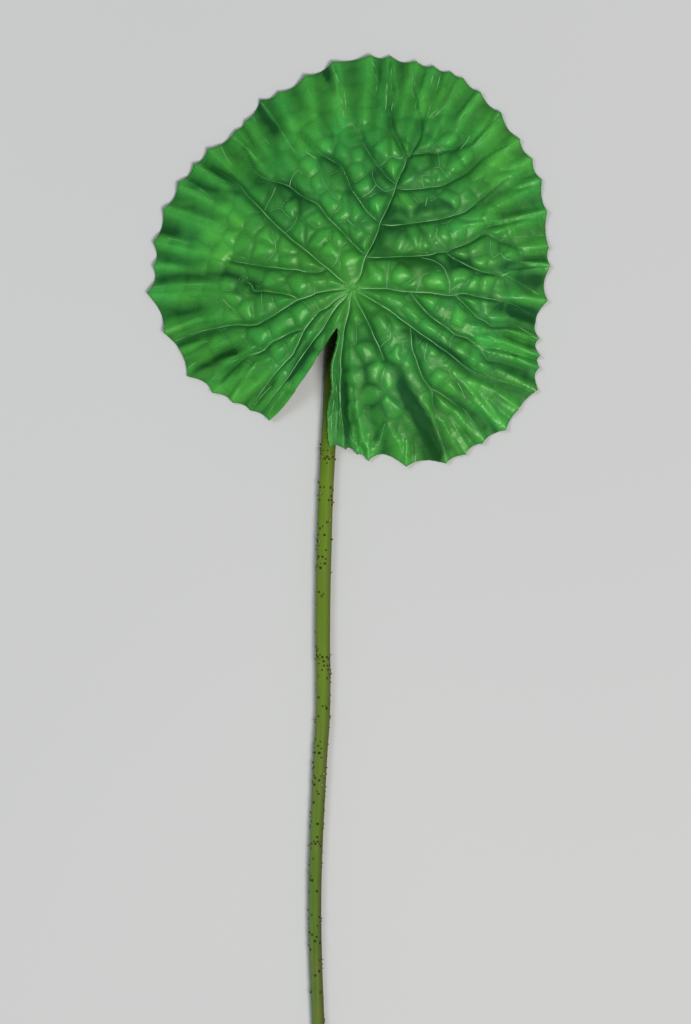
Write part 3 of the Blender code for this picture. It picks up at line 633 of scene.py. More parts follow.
def plan(points):
    """Picture pixels to metres from the hub, with +Y towards the top of the picture."""
    points = np.array(points, dtype=float)[:, :2]
    return (points - HUB_PIXEL) * (PIXEL, -PIXEL)


def hub_place():
    """Where the hub stands in the frame, whose origin is under the middle of the whole thing."""
    reach = np.vstack([plan(TEETH), plan(STEM_FLAT)])
    middle = (reach.min(axis=0) + reach.max(axis=0)) / 2
    return -middle


def curve_through(points, step):
    """Points at about even steps on a smooth (Catmull-Rom) curve through the given ones."""
    points = np.array(points, dtype=float)
    padded = np.vstack([2 * points[0] - points[1], points, 2 * points[-1] - points[-2]])
    path = []
    for a, b, c, d in zip(padded[:-3], padded[1:-2], padded[2:-1], padded[3:]):
        count = max(1, round(float(np.linalg.norm(c - b)) / step))
        for k in range(count):
            u = k / count
            path.append(0.5 * (2 * b + (c - a) * u + (2 * a - 5 * b + 4 * c - d) * u * u
                               + (3 * b - a - 3 * c + d) * u**3))
    path.append(points[-1])
    return np.array(path)


def search_tree(points):
    tree = KDTree(len(points))
    for index, (x, y) in enumerate(points):
        tree.insert((x, y, 0.0), index)
    tree.balance()
    return tree


def tree_along(lines, step=TREE_STEP):
    """A search tree of points set close together along smooth lines through picture points."""
    return search_tree(np.vstack([curve_through(plan(line), step) for line in lines]))


def offsets(tree, points):
    """The way from the nearest point of the tree to each point."""
    nearest = np.array([tree.find((x, y, 0.0))[0][:2] for x, y in points])
    return points - nearest


def distances(tree, points):
    return np.linalg.norm(offsets(tree, points), axis=1)


def noise_at(points, size, seed):
    """Smooth noise from -1 to 1 over the plan, with lumps of about the given size."""
    return np.array([noise.noise((x / size, y / size, seed)) for x, y in points])


def lumps(points, kind):
    height, size, seed = kind
    return height * noise_at(points, size, seed)


class LeafOutline:
    """Plan of the leaf in polar form: s runs clockwise from the notch's left edge to its right."""

    def __init__(self):
        self.left = self.edge(NOTCH_LEFT)
        self.right = self.edge(NOTCH_RIGHT)
        self.notch_radius = self.left[0][0]
        tips = plan(TEETH)
        self.tip_radius = np.hypot(tips[:, 0], tips[:, 1])
        left, right = self.edge_angles(self.tip_radius)
        turn = self.clockwise(tips)
        turn = np.where(turn < left - ANGLE_SLACK, turn + FULL_TURN, turn)
        self.tip_s = (turn - left) / (right - left)
        self.tip_s[0] = 0.0
        self.tip_s[-1] = 1.0
        self.dips = np.array([tooth[2] for tooth in TEETH]) * PIXEL

    @staticmethod
    def clockwise(points):
        """Angle about the hub, clockwise from straight down, so that the notch is near 0."""
        return np.arctan2(-points[:, 0], -points[:, 1]) % FULL_TURN

    def edge(self, pixels):
        points = plan(pixels)
        return np.hypot(points[:, 0], points[:, 1]), self.clockwise(points)

    def edge_angles(self, radius):
        """Angles of the notch's left edge and of its right one, a full turn on, at each radius."""
        left = np.interp(radius, *self.left)
        right = np.interp(radius, *self.right)
        along_edge = [(r, 0.0) for r in radius]
        right += lumps(along_edge, TEARS) / np.maximum(radius, TEAR_LEAST_RADIUS)
        return left, right + FULL_TURN

    def gap(self, s):
        """Which gap between two teeth each s is in, and how far along it from 0 to 1."""
        index = np.clip(np.searchsorted(self.tip_s, s, side="right") - 1, 0, len(self.tip_s) - 2)
        width = self.tip_s[index + 1] - self.tip_s[index]
        return index, (s - self.tip_s[index]) / width

    def rim_radius(self, s):
        index, along = self.gap(s)
        chord = self.tip_radius[index] * (1.0 - along) + self.tip_radius[index + 1] * along
        return chord - RIM_INSET - self.dips[index] * 4.0 * along * (1.0 - along)

    def share_out(self, points):
        """How far out towards the rim each point is, from 0 at the hub to 1 at the rim."""
        radius = np.hypot(points[:, 0], points[:, 1])
        left, right = self.edge_angles(radius)
        turn = self.clockwise(points)
        turn = np.where(turn < left, turn + FULL_TURN, turn)
        return radius / self.rim_radius(np.clip((turn - left) / (right - left), 0.0, 1.0))

    def columns(self):
        """Values of s with one on each tooth's tip, and a fixed multiple of steps in each gap."""
        values = [0.0]
        for index in range(len(self.tip_s) - 1):
            start, end = self.tip_s[index], self.tip_s[index + 1]
            length = (end - start) * FULL_TURN * self.tip_radius[index]
            steps = COLUMN_MULTIPLE * max(1, round(length / COLUMN_WIDTH / COLUMN_MULTIPLE))
            values += [start + (end - start) * k / steps for k in range(1, steps + 1)]
        return np.array(values)

    def rings(self, s_columns):
        """Radii of the mesh's rings at every column, and the ring where the notch begins."""
        notch = self.notch_radius
        inner = 2 * round((notch - FIRST_RING) / ROW_WIDTH / 2)
        outer = 2 * round((float(np.max(self.tip_radius)) - notch) / ROW_WIDTH / 2)
        rim = self.rim_radius(s_columns)
        radii = [np.full(len(rim), FIRST_RING + (notch - FIRST_RING) * k / inner) for k in range(inner)]
        radii += [notch + (rim - notch) * k / outer for k in range(outer + 1)]
        return radii, inner

    def place(self, s, radius):
        left, right = self.edge_angles(radius)
        angle = left + (right - left) * s
        return np.stack([-np.sin(angle) * radius, -np.cos(angle) * radius], axis=1)


def warp(points):
    """Bend the plan a little, so that the cells drawn in the bent plan have curved sides."""
    shifts = [noise_at(points, CELL_WARP_SIZE, seed) for seed in CELL_WARP_SEEDS]
    return points + CELL_WARP * np.stack(shifts, axis=1)


def unwarp(points):
    straight = points.copy()
    for _ in range(UNWARP_ROUNDS):
        straight = points - (warp(straight) - straight)
    return straight


def circle_centre(a, b, c):
    """Middle of the circle through three points."""
    spin = 2.0 * (a[0] * (b[1] - c[1]) + b[0] * (c[1] - a[1]) + c[0] * (a[1] - b[1]))
    squares = [float(np.dot(p, p)) for p in (a, b, c)]
    x = squares[0] * (b[1] - c[1]) + squares[1] * (c[1] - a[1]) + squares[2] * (a[1] - b[1])
    y = squares[0] * (c[0] - b[0]) + squares[1] * (a[0] - c[0]) + squares[2] * (b[0] - a[0])
    return np.array([x / spin, y / spin])


class PuffCells:
    """The small puffed cells between the veins: their middles in the bent plan and heights."""

    def __init__(self, outline):
        chance = random.Random(CELL_SEED)
        veins = tree_along(MAIN_VEINS + SIDE_VEINS)
        middles = [tuple(middle) for middle in plan(SWELLINGS)]
        heights = [SWELLING_STRENGTH * spot[2] * MM for spot in SWELLINGS]
        reach = float(outline.tip_radius.max())
        for _ in range(CELL_TRIES):
            turn, out = chance.uniform(0.0, FULL_TURN), math.sqrt(chance.random()) * reach
            x, y = out * math.cos(turn), out * math.sin(turn)
            height = chance.uniform(*CELL_HEIGHTS)
            if out < HUB_FLAT_RADIUS or veins.find((x, y, 0.0))[2] < CELL_VEIN_GAP:
                continue
            if all(math.hypot(x - a, y - b) > CELL_SPACING for a, b in middles):
                middles.append((x, y))
                heights.append(height)
        self.middles = warp(np.array(middles))
        self.heights = np.array(heights)
        self.tree = search_tree(self.middles)
        self.reach = np.array([self.tree.find_n((x, y, 0.0), 2)[1][2] / 2 for x, y in self.middles])

    def measure(self, points):
        """How far into its cell each point is, 0 at the border and 1 in the middle, and the
        height of that cell. The distances to all the borders near it are blended, so that the
        puffs are round."""
        nearest = [self.tree.find_n((x, y, 0.0), CELL_NEIGHBOURS) for x, y in warp(points)]
        index = np.array([[found[1] for found in row] for row in nearest])
        far = np.array([[found[2] for found in row] for row in nearest])
        own = self.middles[index[:, :1]]
        apart = np.linalg.norm(self.middles[index[:, 1:]] - own, axis=2)
        borders = (far[:, 1:] ** 2 - far[:, :1] ** 2) / (2.0 * apart)
        border = -CELL_BLEND * np.log(np.sum(np.exp(-borders / CELL_BLEND), axis=1))
        return np.clip(border / self.reach[index[:, 0]], 0.0, 1.0), self.heights[index[:, 0]]

    def borders(self):
        """The lines between the cells, each a run of plan points."""
        corners = [Vector(middle) for middle in self.middles]
        _, _, triangles, *_ = geometry.delaunay_2d_cdt(corners, [], [], 0, CELL_TOLERANCE)
        centres, sides = [], {}
        for index, triangle in enumerate(triangles):
            centres.append(circle_centre(*(self.middles[k] for k in triangle)))
            for k in range(3):
                side = tuple(sorted((triangle[k], triangle[(k + 1) % 3])))
                sides.setdefault(side, []).append(index)
        lines = []
        for pair in sides.values():
            if len(pair) < 2:
                continue
            start, end = centres[pair[0]], centres[pair[1]]
            length = float(np.linalg.norm(end - start))
            if BORDER_LENGTHS[0] < length < BORDER_LENGTHS[1]:
                count = max(VEIN_LEAST_POINTS, round(length / VEIN_STEP))
                share = np.linspace(0.0, 1.0, count)[:, None]
                lines.append(unwarp(start + (end - start) * share))
        return lines


def border_lines(outline, cells):
    """Borders of cells that stand out as fine veins: in patches, clear of the drawn veins, of the darkest
    folds and of the darkest bands of painted shade."""
    lines = cells.borders()
    points = np.vstack(lines)
    clear = distances(tree_along(MAIN_VEINS + SIDE_VEINS + FINE_VEINS), points) > BORDER_GAP
    clear &= outline.share_out(points) < BORDER_END
    clear &= noise_at(points, BORDER_PATCH, BORDER_SEED) > BORDER_PATCHES_ABOVE
    clear &= (folded(points)[1] > BORDER_FOLDS_ABOVE) & (painted_light_and_shade(points) > BORDER_SHADE_BANDS_ABOVE)
    ends = np.cumsum([len(line) for line in lines])[:-1]
    return [line[keep] for line, keep in zip(lines, np.split(clear, ends))]


def crest_of(path, reach):
    """The crest or bottom of a fold, which lies beside its lit or shaded side."""
    across = np.gradient(path, axis=0)[:, ::-1] * (1.0, -1.0)
    across /= np.linalg.norm(across, axis=1)[:, None]
    return path - FLANK * reach * across * (across @ TOWARDS_LIGHT)[:, None]


def add_fold(total, points, path, reach, height):
    near = np.all(points > path.min(axis=0) - FOLD_WIDTH * reach, axis=1)
    near &= np.all(points < path.max(axis=0) + FOLD_WIDTH * reach, axis=1)
    spots = points[near]
    apart = np.linalg.norm(spots[:, None, :] - path[None, :, :], axis=2)
    along = np.argmin(apart, axis=1) / (len(path) - 1)
    fade = smoothstep(0.0, FOLD_FADE_IN, along) * smoothstep(0.0, FOLD_FADE_OUT, 1.0 - along)
    total[near] += height * bell(apart.min(axis=1), reach) * fade


def folded(points):
    """Height that the folds add at each point, and the painted light on their crests and painted shade in
    their valleys.
    """
    heights, light_and_shade = np.zeros(len(points)), np.zeros(len(points))
    for height, width, line in FOLDS:
        path = curve_through(plan(line), FOLD_STEP)
        reach = width * PIXEL
        add_fold(heights, points, crest_of(path, reach), reach, height * MM)
        add_fold(light_and_shade, points, path, reach, height * MM)
    return heights, light_and_shade


def painted_light_and_shade(points):
    """How much lighter or darker the bands of painted light and shade make each point."""
    total = np.zeros(len(points))
    for strength, width, line in LIGHT_SHADE_BANDS:
        path = curve_through(plan(line), FOLD_STEP)
        add_fold(total, points, path, width * PIXEL, LIGHT_SHADE_STRENGTH * strength)
    return total


def pleats(outline, s, out, rim):
    """Waves of the rim, up at each tooth's tip and down at the dip to the next one."""
    index, along = outline.gap(s)
    gap_width = (outline.tip_s[index + 1] - outline.tip_s[index]) * FULL_TURN * rim
    wave = 0.5 * PLEAT_DEPTH * gap_width * np.cos(FULL_TURN * along)
    return wave * smoothstep(PLEAT_START, 1.0, out)


def rays(points, radius, out):
    """Fine waves that run out to the rim."""
    angle = np.arctan2(points[:, 1], points[:, 0])
    stretched = np.stack([angle, radius], axis=1) * RAY_STRETCH
    return lumps(stretched, RAYS) * smoothstep(*RAY_START, out)


def notch_roll(outline, points, radius):
    away = distances(tree_along([NOTCH_LEFT, NOTCH_RIGHT], MM), points)
    started = smoothstep(*NOTCH_ROLL_START, radius / outline.notch_radius)
    return NOTCH_ROLL * bell(away, NOTCH_ROLL_REACH) * started


def stem_clearance(points):
    """Height that the upper face keeps over the stem, which the right-hand lobe rests across."""
    under_lobe = [(x, y) for x, y, *_ in STEM_CLIMB[-1:] + STEM_FLAT[:4]]
    aside = distances(tree_along([under_lobe], MM), points)
    top = 2.0 * STEM_RADIUS_NEAR_LEAF + THORN_HEIGHT + BLADE_THICKNESS + CLEARANCE
    return top - CLEARANCE_FALL * np.maximum(aside - STEM_RADIUS_NEAR_LEAF, 0.0)


def leaf_relief(outline, cells, points, s, radius):
    """Height of the leaf's upper face, and three measures that drive the colour: the tone, which is
    painted light and shade, the share of the way out to the rim, and the painted shade in a vein's crease."""
    rim = outline.rim_radius(s)
    out = radius / rim
    away_from_hub = smoothstep(*HUB_FADE, radius)
    past_hub = smoothstep(*HUB_EDGE, radius)
    near_rim = smoothstep(*RIM_BAND, out)

    beside = offsets(tree_along(MAIN_VEINS + SIDE_VEINS), points)
    apart = np.linalg.norm(beside, axis=1)
    lightward = beside @ TOWARDS_LIGHT / np.maximum(apart, LEAST_APART)
    crease = bell(apart, CREASE_REACH * (1.0 - CREASE_SKEW * lightward))
    groove = bell(apart, GROOVE_REACH * (1.0 - GROOVE_SKEW * lightward))
    inside, cell_height = cells.measure(points)
    pinch = FINE_PINCH * bell(distances(tree_along(FINE_VEINS), points), FINE_REACH)
    puff = cell_height * (1.0 - (1.0 - inside) ** 2) * (1.0 - pinch) * (1.0 - crease)
    between = GROOVE_DEPTH * (1.0 - groove) + CREASE_DEPTH * (1.0 - crease)
    puffed = (between * past_hub + puff * away_from_hub) * (1.0 - RIM_CALM * near_rim)

    lumpy = (lumps(points, COARSE_LUMPS) + lumps(points, FINE_LUMPS)) * away_from_hub
    lumpy += lumps(points, HUB_LUMPS) * (1.0 - past_hub)
    waves = pleats(outline, s, out, rim) + rays(points, radius, out)
    folds, fold_light_and_shade = folded(points)
    dome = RIM_HEIGHT + (HUB_HEIGHT - RIM_HEIGHT) * (1.0 - out**2)
    height = dome + puffed + lumpy + waves + notch_roll(outline, points, radius) + folds
    height = np.maximum(height, np.maximum(stem_clearance(points), RIM_LOWEST))

    # The tone is painted light and shade: puffs and lumps lighter, grooves darker, most on the wall that
    # faces away from the light; pleats and folds lighter on their crests and darker in their dips.
    tone = puff + lumpy - TONE_LEVEL
    tone -= GROOVE_TONE * groove * (1.0 + GROOVE_TONE_SKEW * lightward)
    tone *= away_from_hub * (1.0 - RIM_TONE_CALM * near_rim)
    tone = (tone + waves + FOLD_TONE * fold_light_and_shade) / TONE_SPAN + painted_light_and_shade(points)
    tone += TONE_MIDDLE + TONE_AWAY_FROM_HUB * away_from_hub
    # Painted shade in the veins' creases, deepest on the wall that faces away from the light.
    crease_shade = crease * (CREASE_TONE + (1.0 - CREASE_TONE) * lightward) * past_hub
    return height, np.clip(tone, 0.0, 1.0), out, crease_shade


def column_stride(radius):
    """How many fine columns one column of the mesh spans at this distance from the hub."""
    return 2 ** sum(radius < limit for limit in WIDER_COLUMNS_BELOW)


class FanMesh:
    """Rings of points about the hub, open at the notch, joined by faces into one sheet."""

    def __init__(self, last, strides, notch_ring):
        self.last = last
        self.notch_ring = notch_ring
        self.rings = []
        self.points = []
        self.faces = []
        for ring, stride in enumerate(strides):
            indices = {}
            for column in range(0, last + 1, stride):
                if ring <= notch_ring and column == last:
                    indices[column] = indices[0]
                    continue
                self.points.append((ring, column))
                indices[column] = len(self.points)
            self.rings.append(indices)
        self.join_rings(strides)

    def join_rings(self, strides):
        first = self.rings[0]
        for column in range(0, self.last, strides[0]):
            self.faces.append((0, first[column + strides[0]], first[column]))
        for inner, outer, wide, fine in zip(self.rings, self.rings[1:], strides, strides[1:]):
            for column in range(0, self.last, wide):
                a, b = inner[column], inner[column + wide]
                if wide == fine:
                    self.faces.append((a, b, outer[column + wide], outer[column]))
                    continue
                middle = outer[column + fine]
                self.faces.append((a, middle, outer[column]))
                self.faces.append((a, b, middle))
                self.faces.append((b, outer[column + wide], middle))

    def edge_loop(self):
        """Points round the open edge: out along the notch's left side, round the rim and back."""
        loop = [ring[0] for ring in self.rings[self.notch_ring:]]
        rim = self.rings[-1]
        loop += [rim[column] for column in sorted(rim)[1:]]
        loop += [ring[self.last] for ring in reversed(self.rings[self.notch_ring + 1:-1])]
        return loop


def build_mesh(name, vertices, faces, materials=(), **values):
    """A mesh with its materials, and each named list of values stored at its vertices."""
    mesh = bpy.data.meshes.new(name)
    mesh.from_pydata([tuple(v) for v in vertices], [], faces)
    for material in materials:
        mesh.materials.append(material)
    mesh.update()
    for key, numbers in values.items():
        attribute = mesh.attributes.new(key, "FLOAT", "POINT")
        attribute.data.foreach_set("value", np.asarray(numbers, dtype=np.float32))
    return mesh


def add_at_hub(name, mesh, sharp_above=None):
    """A smooth object with its origin under the hub, and sharp edges above the given degrees."""
    mesh.shade_smooth()
    if sharp_above is not None:
        mesh.set_sharp_from_angle(angle=math.radians(sharp_above))
    piece = bpy.data.objects.new(name, mesh)
    piece.location = (*hub_place(), 0.0)
    bpy.context.scene.collection.objects.link(piece)
    return piece


def face_outwards(mesh):
    shape = bmesh.new()
    shape.from_mesh(mesh)
    bmesh.ops.recalc_face_normals(shape, faces=shape.faces)
    shape.to_mesh(mesh)
    shape.free()


def tube_faces(rings, sides, base=0):
    """Faces of a closed tube whose corners follow each other ring by ring, from corner base."""
    faces = []
    for start in range(base, base + (rings - 1) * sides, sides):
        for j in range(sides):
            a, b = start + j, start + (j + 1) % sides
            faces.append((a, b, b + sides, a + sides))
    faces.append(tuple(reversed(range(base, base + sides))))
    faces.append(tuple(range(base + (rings - 1) * sides, base + rings * sides)))
    return faces


def vertex_normals(vertices, faces):
    mesh = build_mesh("bare_face", vertices, faces)
    normals = np.zeros(len(vertices) * 3, dtype=np.float32)
    mesh.vertices.foreach_get("normal", normals)
    bpy.data.meshes.remove(mesh)
    return normals.reshape(-1, 3).astype(float)


def edge_faces(above, below):
    """Faces between the edge of the upper face and that of the lower one, with half its points."""
    faces = []
    for k, low in enumerate(below):
        a, b = above[2 * k], above[2 * k + 1]
        c = above[(2 * k + 2) % len(above)]
        next_low = below[(k + 1) % len(below)]
        faces += [(a, low, b), (b, low, next_low), (b, next_low, c)]
    return faces


def make_blade(outline, cells):
    """The leaf: a fine upper face, a coarser lower one and the cut edge between them."""
    s_columns = outline.columns()
    last = len(s_columns) - 1
    radii, notch_ring = outline.rings(s_columns)
    strides = [column_stride(float(ring.mean())) for ring in radii]
    top = FanMesh(last, strides, notch_ring)
    back = FanMesh(last, [2 * stride for stride in strides[::2]], notch_ring // 2)
    radius = np.array([0.0] + [radii[ring][column] for ring, column in top.points])
    s = np.array([0.5] + [s_columns[column] for _, column in top.points])
    points = outline.place(s, radius)
    height, *measures = leaf_relief(outline, cells, points, s, radius)
    upper = np.column_stack([points, height])

    twin = [0] + [top.rings[2 * ring][column] for ring, column in back.points]
    lower = upper[twin] - vertex_normals(upper, top.faces)[twin] * BLADE_THICKNESS
    lower[:, 2] = np.maximum(lower[:, 2], BACK_LOWEST)
    shift = len(upper)
    back_faces = [tuple(shift + index for index in reversed(face)) for face in back.faces]
    cut_faces = edge_faces(top.edge_loop(), [shift + index for index in back.edge_loop()])
    tone, out, crease = (np.concatenate([values, values[twin]]) for values in measures)
    mesh = build_mesh("leaf_blade", np.vstack([upper, lower]), top.faces + back_faces + cut_faces,
                      (leaf_face_material(), leaf_back_material()), relief=tone, out=out, crease=crease)
    on_back = [0] * len(top.faces) + [1] * len(back_faces) + [0] * len(cut_faces)
    mesh.polygons.foreach_set("material_index", on_back)
    return add_at_hub("leaf_blade", mesh, BLADE_SHARP_ABOVE)


def surface_of(blade):
    """A search tree of the leaf's surface, in the leaf's own coordinates."""
    mesh = blade.data
    return BVHTree.FromPolygons([v.co for v in mesh.vertices], [tuple(p.vertices) for p in mesh.polygons])


def smooth_lines(lines):
    return [curve_through(plan(line), VEIN_STEP) for line in lines]


def runs_on(tree, flat, direction):
    """The parts of a line that lie on the leaf, each a run of points on its face or its back."""
    runs, run = [], []
    for x, y in flat:
        hit, *_ = tree.ray_cast(Vector((x, y, -direction * VEIN_LOOK_FROM)), Vector((0, 0, direction)))
        if hit is None or math.hypot(x, y) < VEIN_START:
            run = []
            continue
        if not run or math.dist(hit[:2], run[-1][:2]) > VEIN_BREAK:
            run = []
            runs.append(run)
        run.append((hit.x, hit.y, max(hit.z, VEIN_LOWEST)))
    return [np.array(run) for run in runs if len(run) >= VEIN_LEAST_POINTS]


def ridge_profile(lift, sink):
    """Section of a low rounded ridge, across and up, in half widths."""
    across, up = VEIN_SHOULDER
    return ((-1.0, -sink), (-across, up * lift), (0.0, lift), (across, up * lift), (1.0, -sink))


def ridge_corners(path, half_widths, profile):
    ahead = np.gradient(path, axis=0)
    ahead[:, 2] = 0.0
    ahead /= np.linalg.norm(ahead, axis=1)[:, None]
    corners = []
    for place, run, half in zip(path, ahead, half_widths):
        side = half * np.array([-run[1], run[0], 0.0])
        rise = half * np.array([0.0, 0.0, 1.0])
        corners += [place + side * across + rise * up for across, up in profile]
    return corners


def ridge_width(along, start, end):
    """Half width along a ridge, which tapers and ends in a blunt point at either end."""
    half = start + (end - start) * along**VEIN_TAPER
    ends = smoothstep(0.0, VEIN_ENDS[0], along) * smoothstep(0.0, VEIN_ENDS[1], 1.0 - along)
    return half * (VEIN_END_WIDTH + (1.0 - VEIN_END_WIDTH) * ends)


def make_veins(blade, name, tiers, direction, sink, material):
    """Thin ridges along veins, on the leaf's face with direction -1 and on its back with 1. A
    tier is its lines, their half widths at the start and the end, how high they stand in half
    widths, the least that patches leave of them, and between which radii they fade."""
    tree = surface_of(blade)
    corners, faces, strength = [], [], []
    for lines, start, end, lift, least, fade in tiers:
        profile = ridge_profile(-direction * lift, -direction * sink)
        for path in [run for flat in lines for run in runs_on(tree, flat, direction)]:
            fresh = 1.0 - smoothstep(*fade, np.hypot(path[:, 0], path[:, 1]))
            patch = smoothstep(*VEIN_PATCHES, noise_at(path[:, :2], VEIN_PATCH, VEIN_SEED))
            fresh *= least + (1.0 - least) * patch
            half = ridge_width(np.linspace(0.0, 1.0, len(path)), start, end)
            half *= VEIN_FAINT_WIDTH + (1.0 - VEIN_FAINT_WIDTH) * fresh
            faces += tube_faces(len(path), len(profile), len(corners))
            corners += ridge_corners(path, half, profile)
            strength += list(np.repeat(fresh * start / MM, len(profile)))
    mesh = build_mesh(name, corners, faces, [material], strength=strength)
    face_outwards(mesh)
    return add_at_hub(name, mesh)


def make_face_veins(blade, outline, cells):
    # The crests of the higher folds and the streaks carry thin pale lines: painted highlights.
    highlit_crests = [line for height, _, line in FOLDS if height >= CREST_LEAST]
    tiers = (
        (smooth_lines(MAIN_VEINS), 0.55 * MM, 0.3 * MM, 0.5, 0.6, VEIN_FADE),
        (smooth_lines(SIDE_VEINS), 0.42 * MM, 0.27 * MM, 0.5, 0.6, VEIN_FADE),
        (smooth_lines(FINE_VEINS), 0.36 * MM, 0.28 * MM, 0.5, 0.8, FINE_FADE),
        (border_lines(outline, cells), 0.27 * MM, 0.23 * MM, 0.3, 0.35, VEIN_FADE),
        (smooth_lines(highlit_crests), 0.34 * MM, 0.26 * MM, 0.35, 0.35, CREST_FADE),
        (smooth_lines(HIGHLIGHT_STREAKS), 0.42 * MM, 0.34 * MM, 0.35, 0.35, CREST_FADE),
    )
    return make_veins(blade, "leaf_veins", tiers, -1.0, VEIN_SINK, vein_material())


def make_back_ribs(blade):
    tiers = (
        (smooth_lines(MAIN_VEINS), 1.8 * MM, 0.7 * MM, 1.1, 0.8, VEIN_FADE),
        (smooth_lines(SIDE_VEINS), 1.1 * MM, 0.5 * MM, 1.0, 0.8, VEIN_FADE),
    )
    return make_veins(blade, "leaf_ribs", tiers, 1.0, RIB_SINK, rib_material())


def stem_radius(down):
    """Radius of the stem by how far down from the hub it is in plan."""
    tapered = smoothstep(*STEM_TAPER, down)
    return STEM_RADIUS_NEAR_LEAF + (STEM_RADIUS_AT_CUT - STEM_RADIUS_NEAR_LEAF) * tapered


class StemLine:
    """Centre line of the stem from the hub: at each point its radius, its distance from the
    start, and the directions along the stem, sideways and upwards."""

    def __init__(self):
        climb = np.column_stack([plan(STEM_CLIMB), np.array([z for _, _, z in STEM_CLIMB]) * MM])
        flat = plan(STEM_FLAT)
        flat = np.column_stack([flat, stem_radius(-flat[:, 1])])
        self.path = curve_through(np.vstack([climb, flat]), STEM_STEP)
        self.radii = stem_radius(-self.path[:, 1])
        steps = np.linalg.norm(np.diff(self.path, axis=0), axis=1)
        self.lengths = np.concatenate([[0.0], np.cumsum(steps)])
        self.along = np.gradient(self.path, axis=0)
        self.along /= np.linalg.norm(self.along, axis=1)[:, None]
        side = np.tile(np.array([1.0, 0.0, 0.0]), (len(self.path), 1))
        side -= self.along * np.sum(side * self.along, axis=1)[:, None]
        self.side = side / np.linalg.norm(side, axis=1)[:, None]
        up = np.cross(self.side, self.along)
        leans_down = up @ STEM_UPPER_SIDE < 0.0
        self.up = np.where(leans_down[:, None], -up, up)

    def outwards(self, k, turn):
        return self.side[k] * math.sin(turn) + self.up[k] * math.cos(turn)


def make_stalk():
    line = StemLine()
    corners, turns = [], [FULL_TURN * j / STEM_SIDES for j in range(STEM_SIDES)]
    for k, (place, radius) in enumerate(zip(line.path, line.radii)):
        for turn in turns:
            east, north = math.cos(turn) * STEM_LUMP_ROUND, math.sin(turn) * STEM_LUMP_ROUND
            lumpy = noise.noise((east, north, line.lengths[k] / STEM_LUMP_LENGTH))
            share = STEM_MEAN + STEM_LUMPS * lumpy + STEM_RIB_DEPTH * math.cos(STEM_RIBS * turn)
            corner = place + line.outwards(k, turn) * radius * share
            corner[2] = max(corner[2], STEM_LOWEST)
            corners.append(corner)
    faces = tube_faces(len(line.path), STEM_SIDES)
    mesh = build_mesh("stem_stalk", corners, faces, [stalk_material(), cut_material()],
                      turn=np.tile(np.sin(turns), len(line.path)),
                      down=np.repeat(line.lengths / line.lengths[-1], STEM_SIDES))
    mesh.polygons[len(faces) - 1].material_index = 1
    face_outwards(mesh)
    return add_at_hub("stem_stalk", mesh, STEM_SHARP_ABOVE)


def thorn_seat(chance, seats):
    """Place of the next thorn, near an earlier one or alone: share of the stem, and turn."""
    if seats and chance.random() < THORN_CLUSTER:
        where, turn = chance.choice(seats)
        where += chance.uniform(-CLUSTER_ALONG, CLUSTER_ALONG)
        return where, turn + chance.uniform(-CLUSTER_ROUND, CLUSTER_ROUND)
    weights = [(end - start) * share for start, end, share in THORN_BANDS]
    start, end, _ = chance.choices(THORN_BANDS, weights)[0]
    return chance.uniform(start, end), chance.uniform(-THORN_SPREAD, THORN_SPREAD)


def make_thorns():
    """Short curved prickles all round the stem but for the strip that it lies on."""
    line = StemLine()
    chance = random.Random(THORN_SEED)
    corners, faces, shades, roots, seats = [], [], [], [], []
    while len(roots) < THORN_COUNT:
        where, turn = thorn_seat(chance, seats)
        if abs(turn) > THORN_SPREAD:
            continue
        k = int(np.searchsorted(line.lengths, where * line.lengths[-1]))
        out, along, stem = line.outwards(k, turn), line.along[k], line.radii[k]
        root = line.path[k] + out * stem * THORN_ROOT
        if any(np.linalg.norm(root - other) < THORN_SPACING for other in roots):
            continue
        roots.append(root)
        seats.append((where, turn))
        height = THORN_HEIGHT * chance.uniform(*THORN_HEIGHTS)
        radius = chance.uniform(*THORN_RADII)
        lean = along * -chance.uniform(0.0, THORN_LEAN) * height
        shades.append(chance.random())
        across = np.cross(out, along)
        faces += tube_faces(len(THORN_PROFILE), THORN_SIDES, len(corners))
        for rise, width in THORN_PROFILE:
            middle = root + out * (stem * THORN_BASE + height * rise) + lean * rise**2
            for j in range(THORN_SIDES):
                angle = FULL_TURN * j / THORN_SIDES
                ring = along * math.cos(angle) + across * math.sin(angle)
                corners.append(middle + ring * radius * width)
    tips = np.tile(np.repeat([rise for rise, _ in THORN_PROFILE], THORN_SIDES), THORN_COUNT)
    mesh = build_mesh("stem_thorns", corners, faces, [thorn_material()],
                      tip=tips, shade=np.repeat(shades, len(THORN_PROFILE) * THORN_SIDES))
    face_outwards(mesh)
    return add_at_hub("stem_thorns", mesh)


def srgb(red, green, blue):
    """A colour as seen on a screen, from 0 to 255, to the linear values that the shaders take."""
    values = []
    for value in (red, green, blue):
        part = value / 255.0
        values.append(part / 12.92 if part <= 0.04045 else ((part + 0.055) / 1.055) ** 2.4)
    return (*values, 1.0)


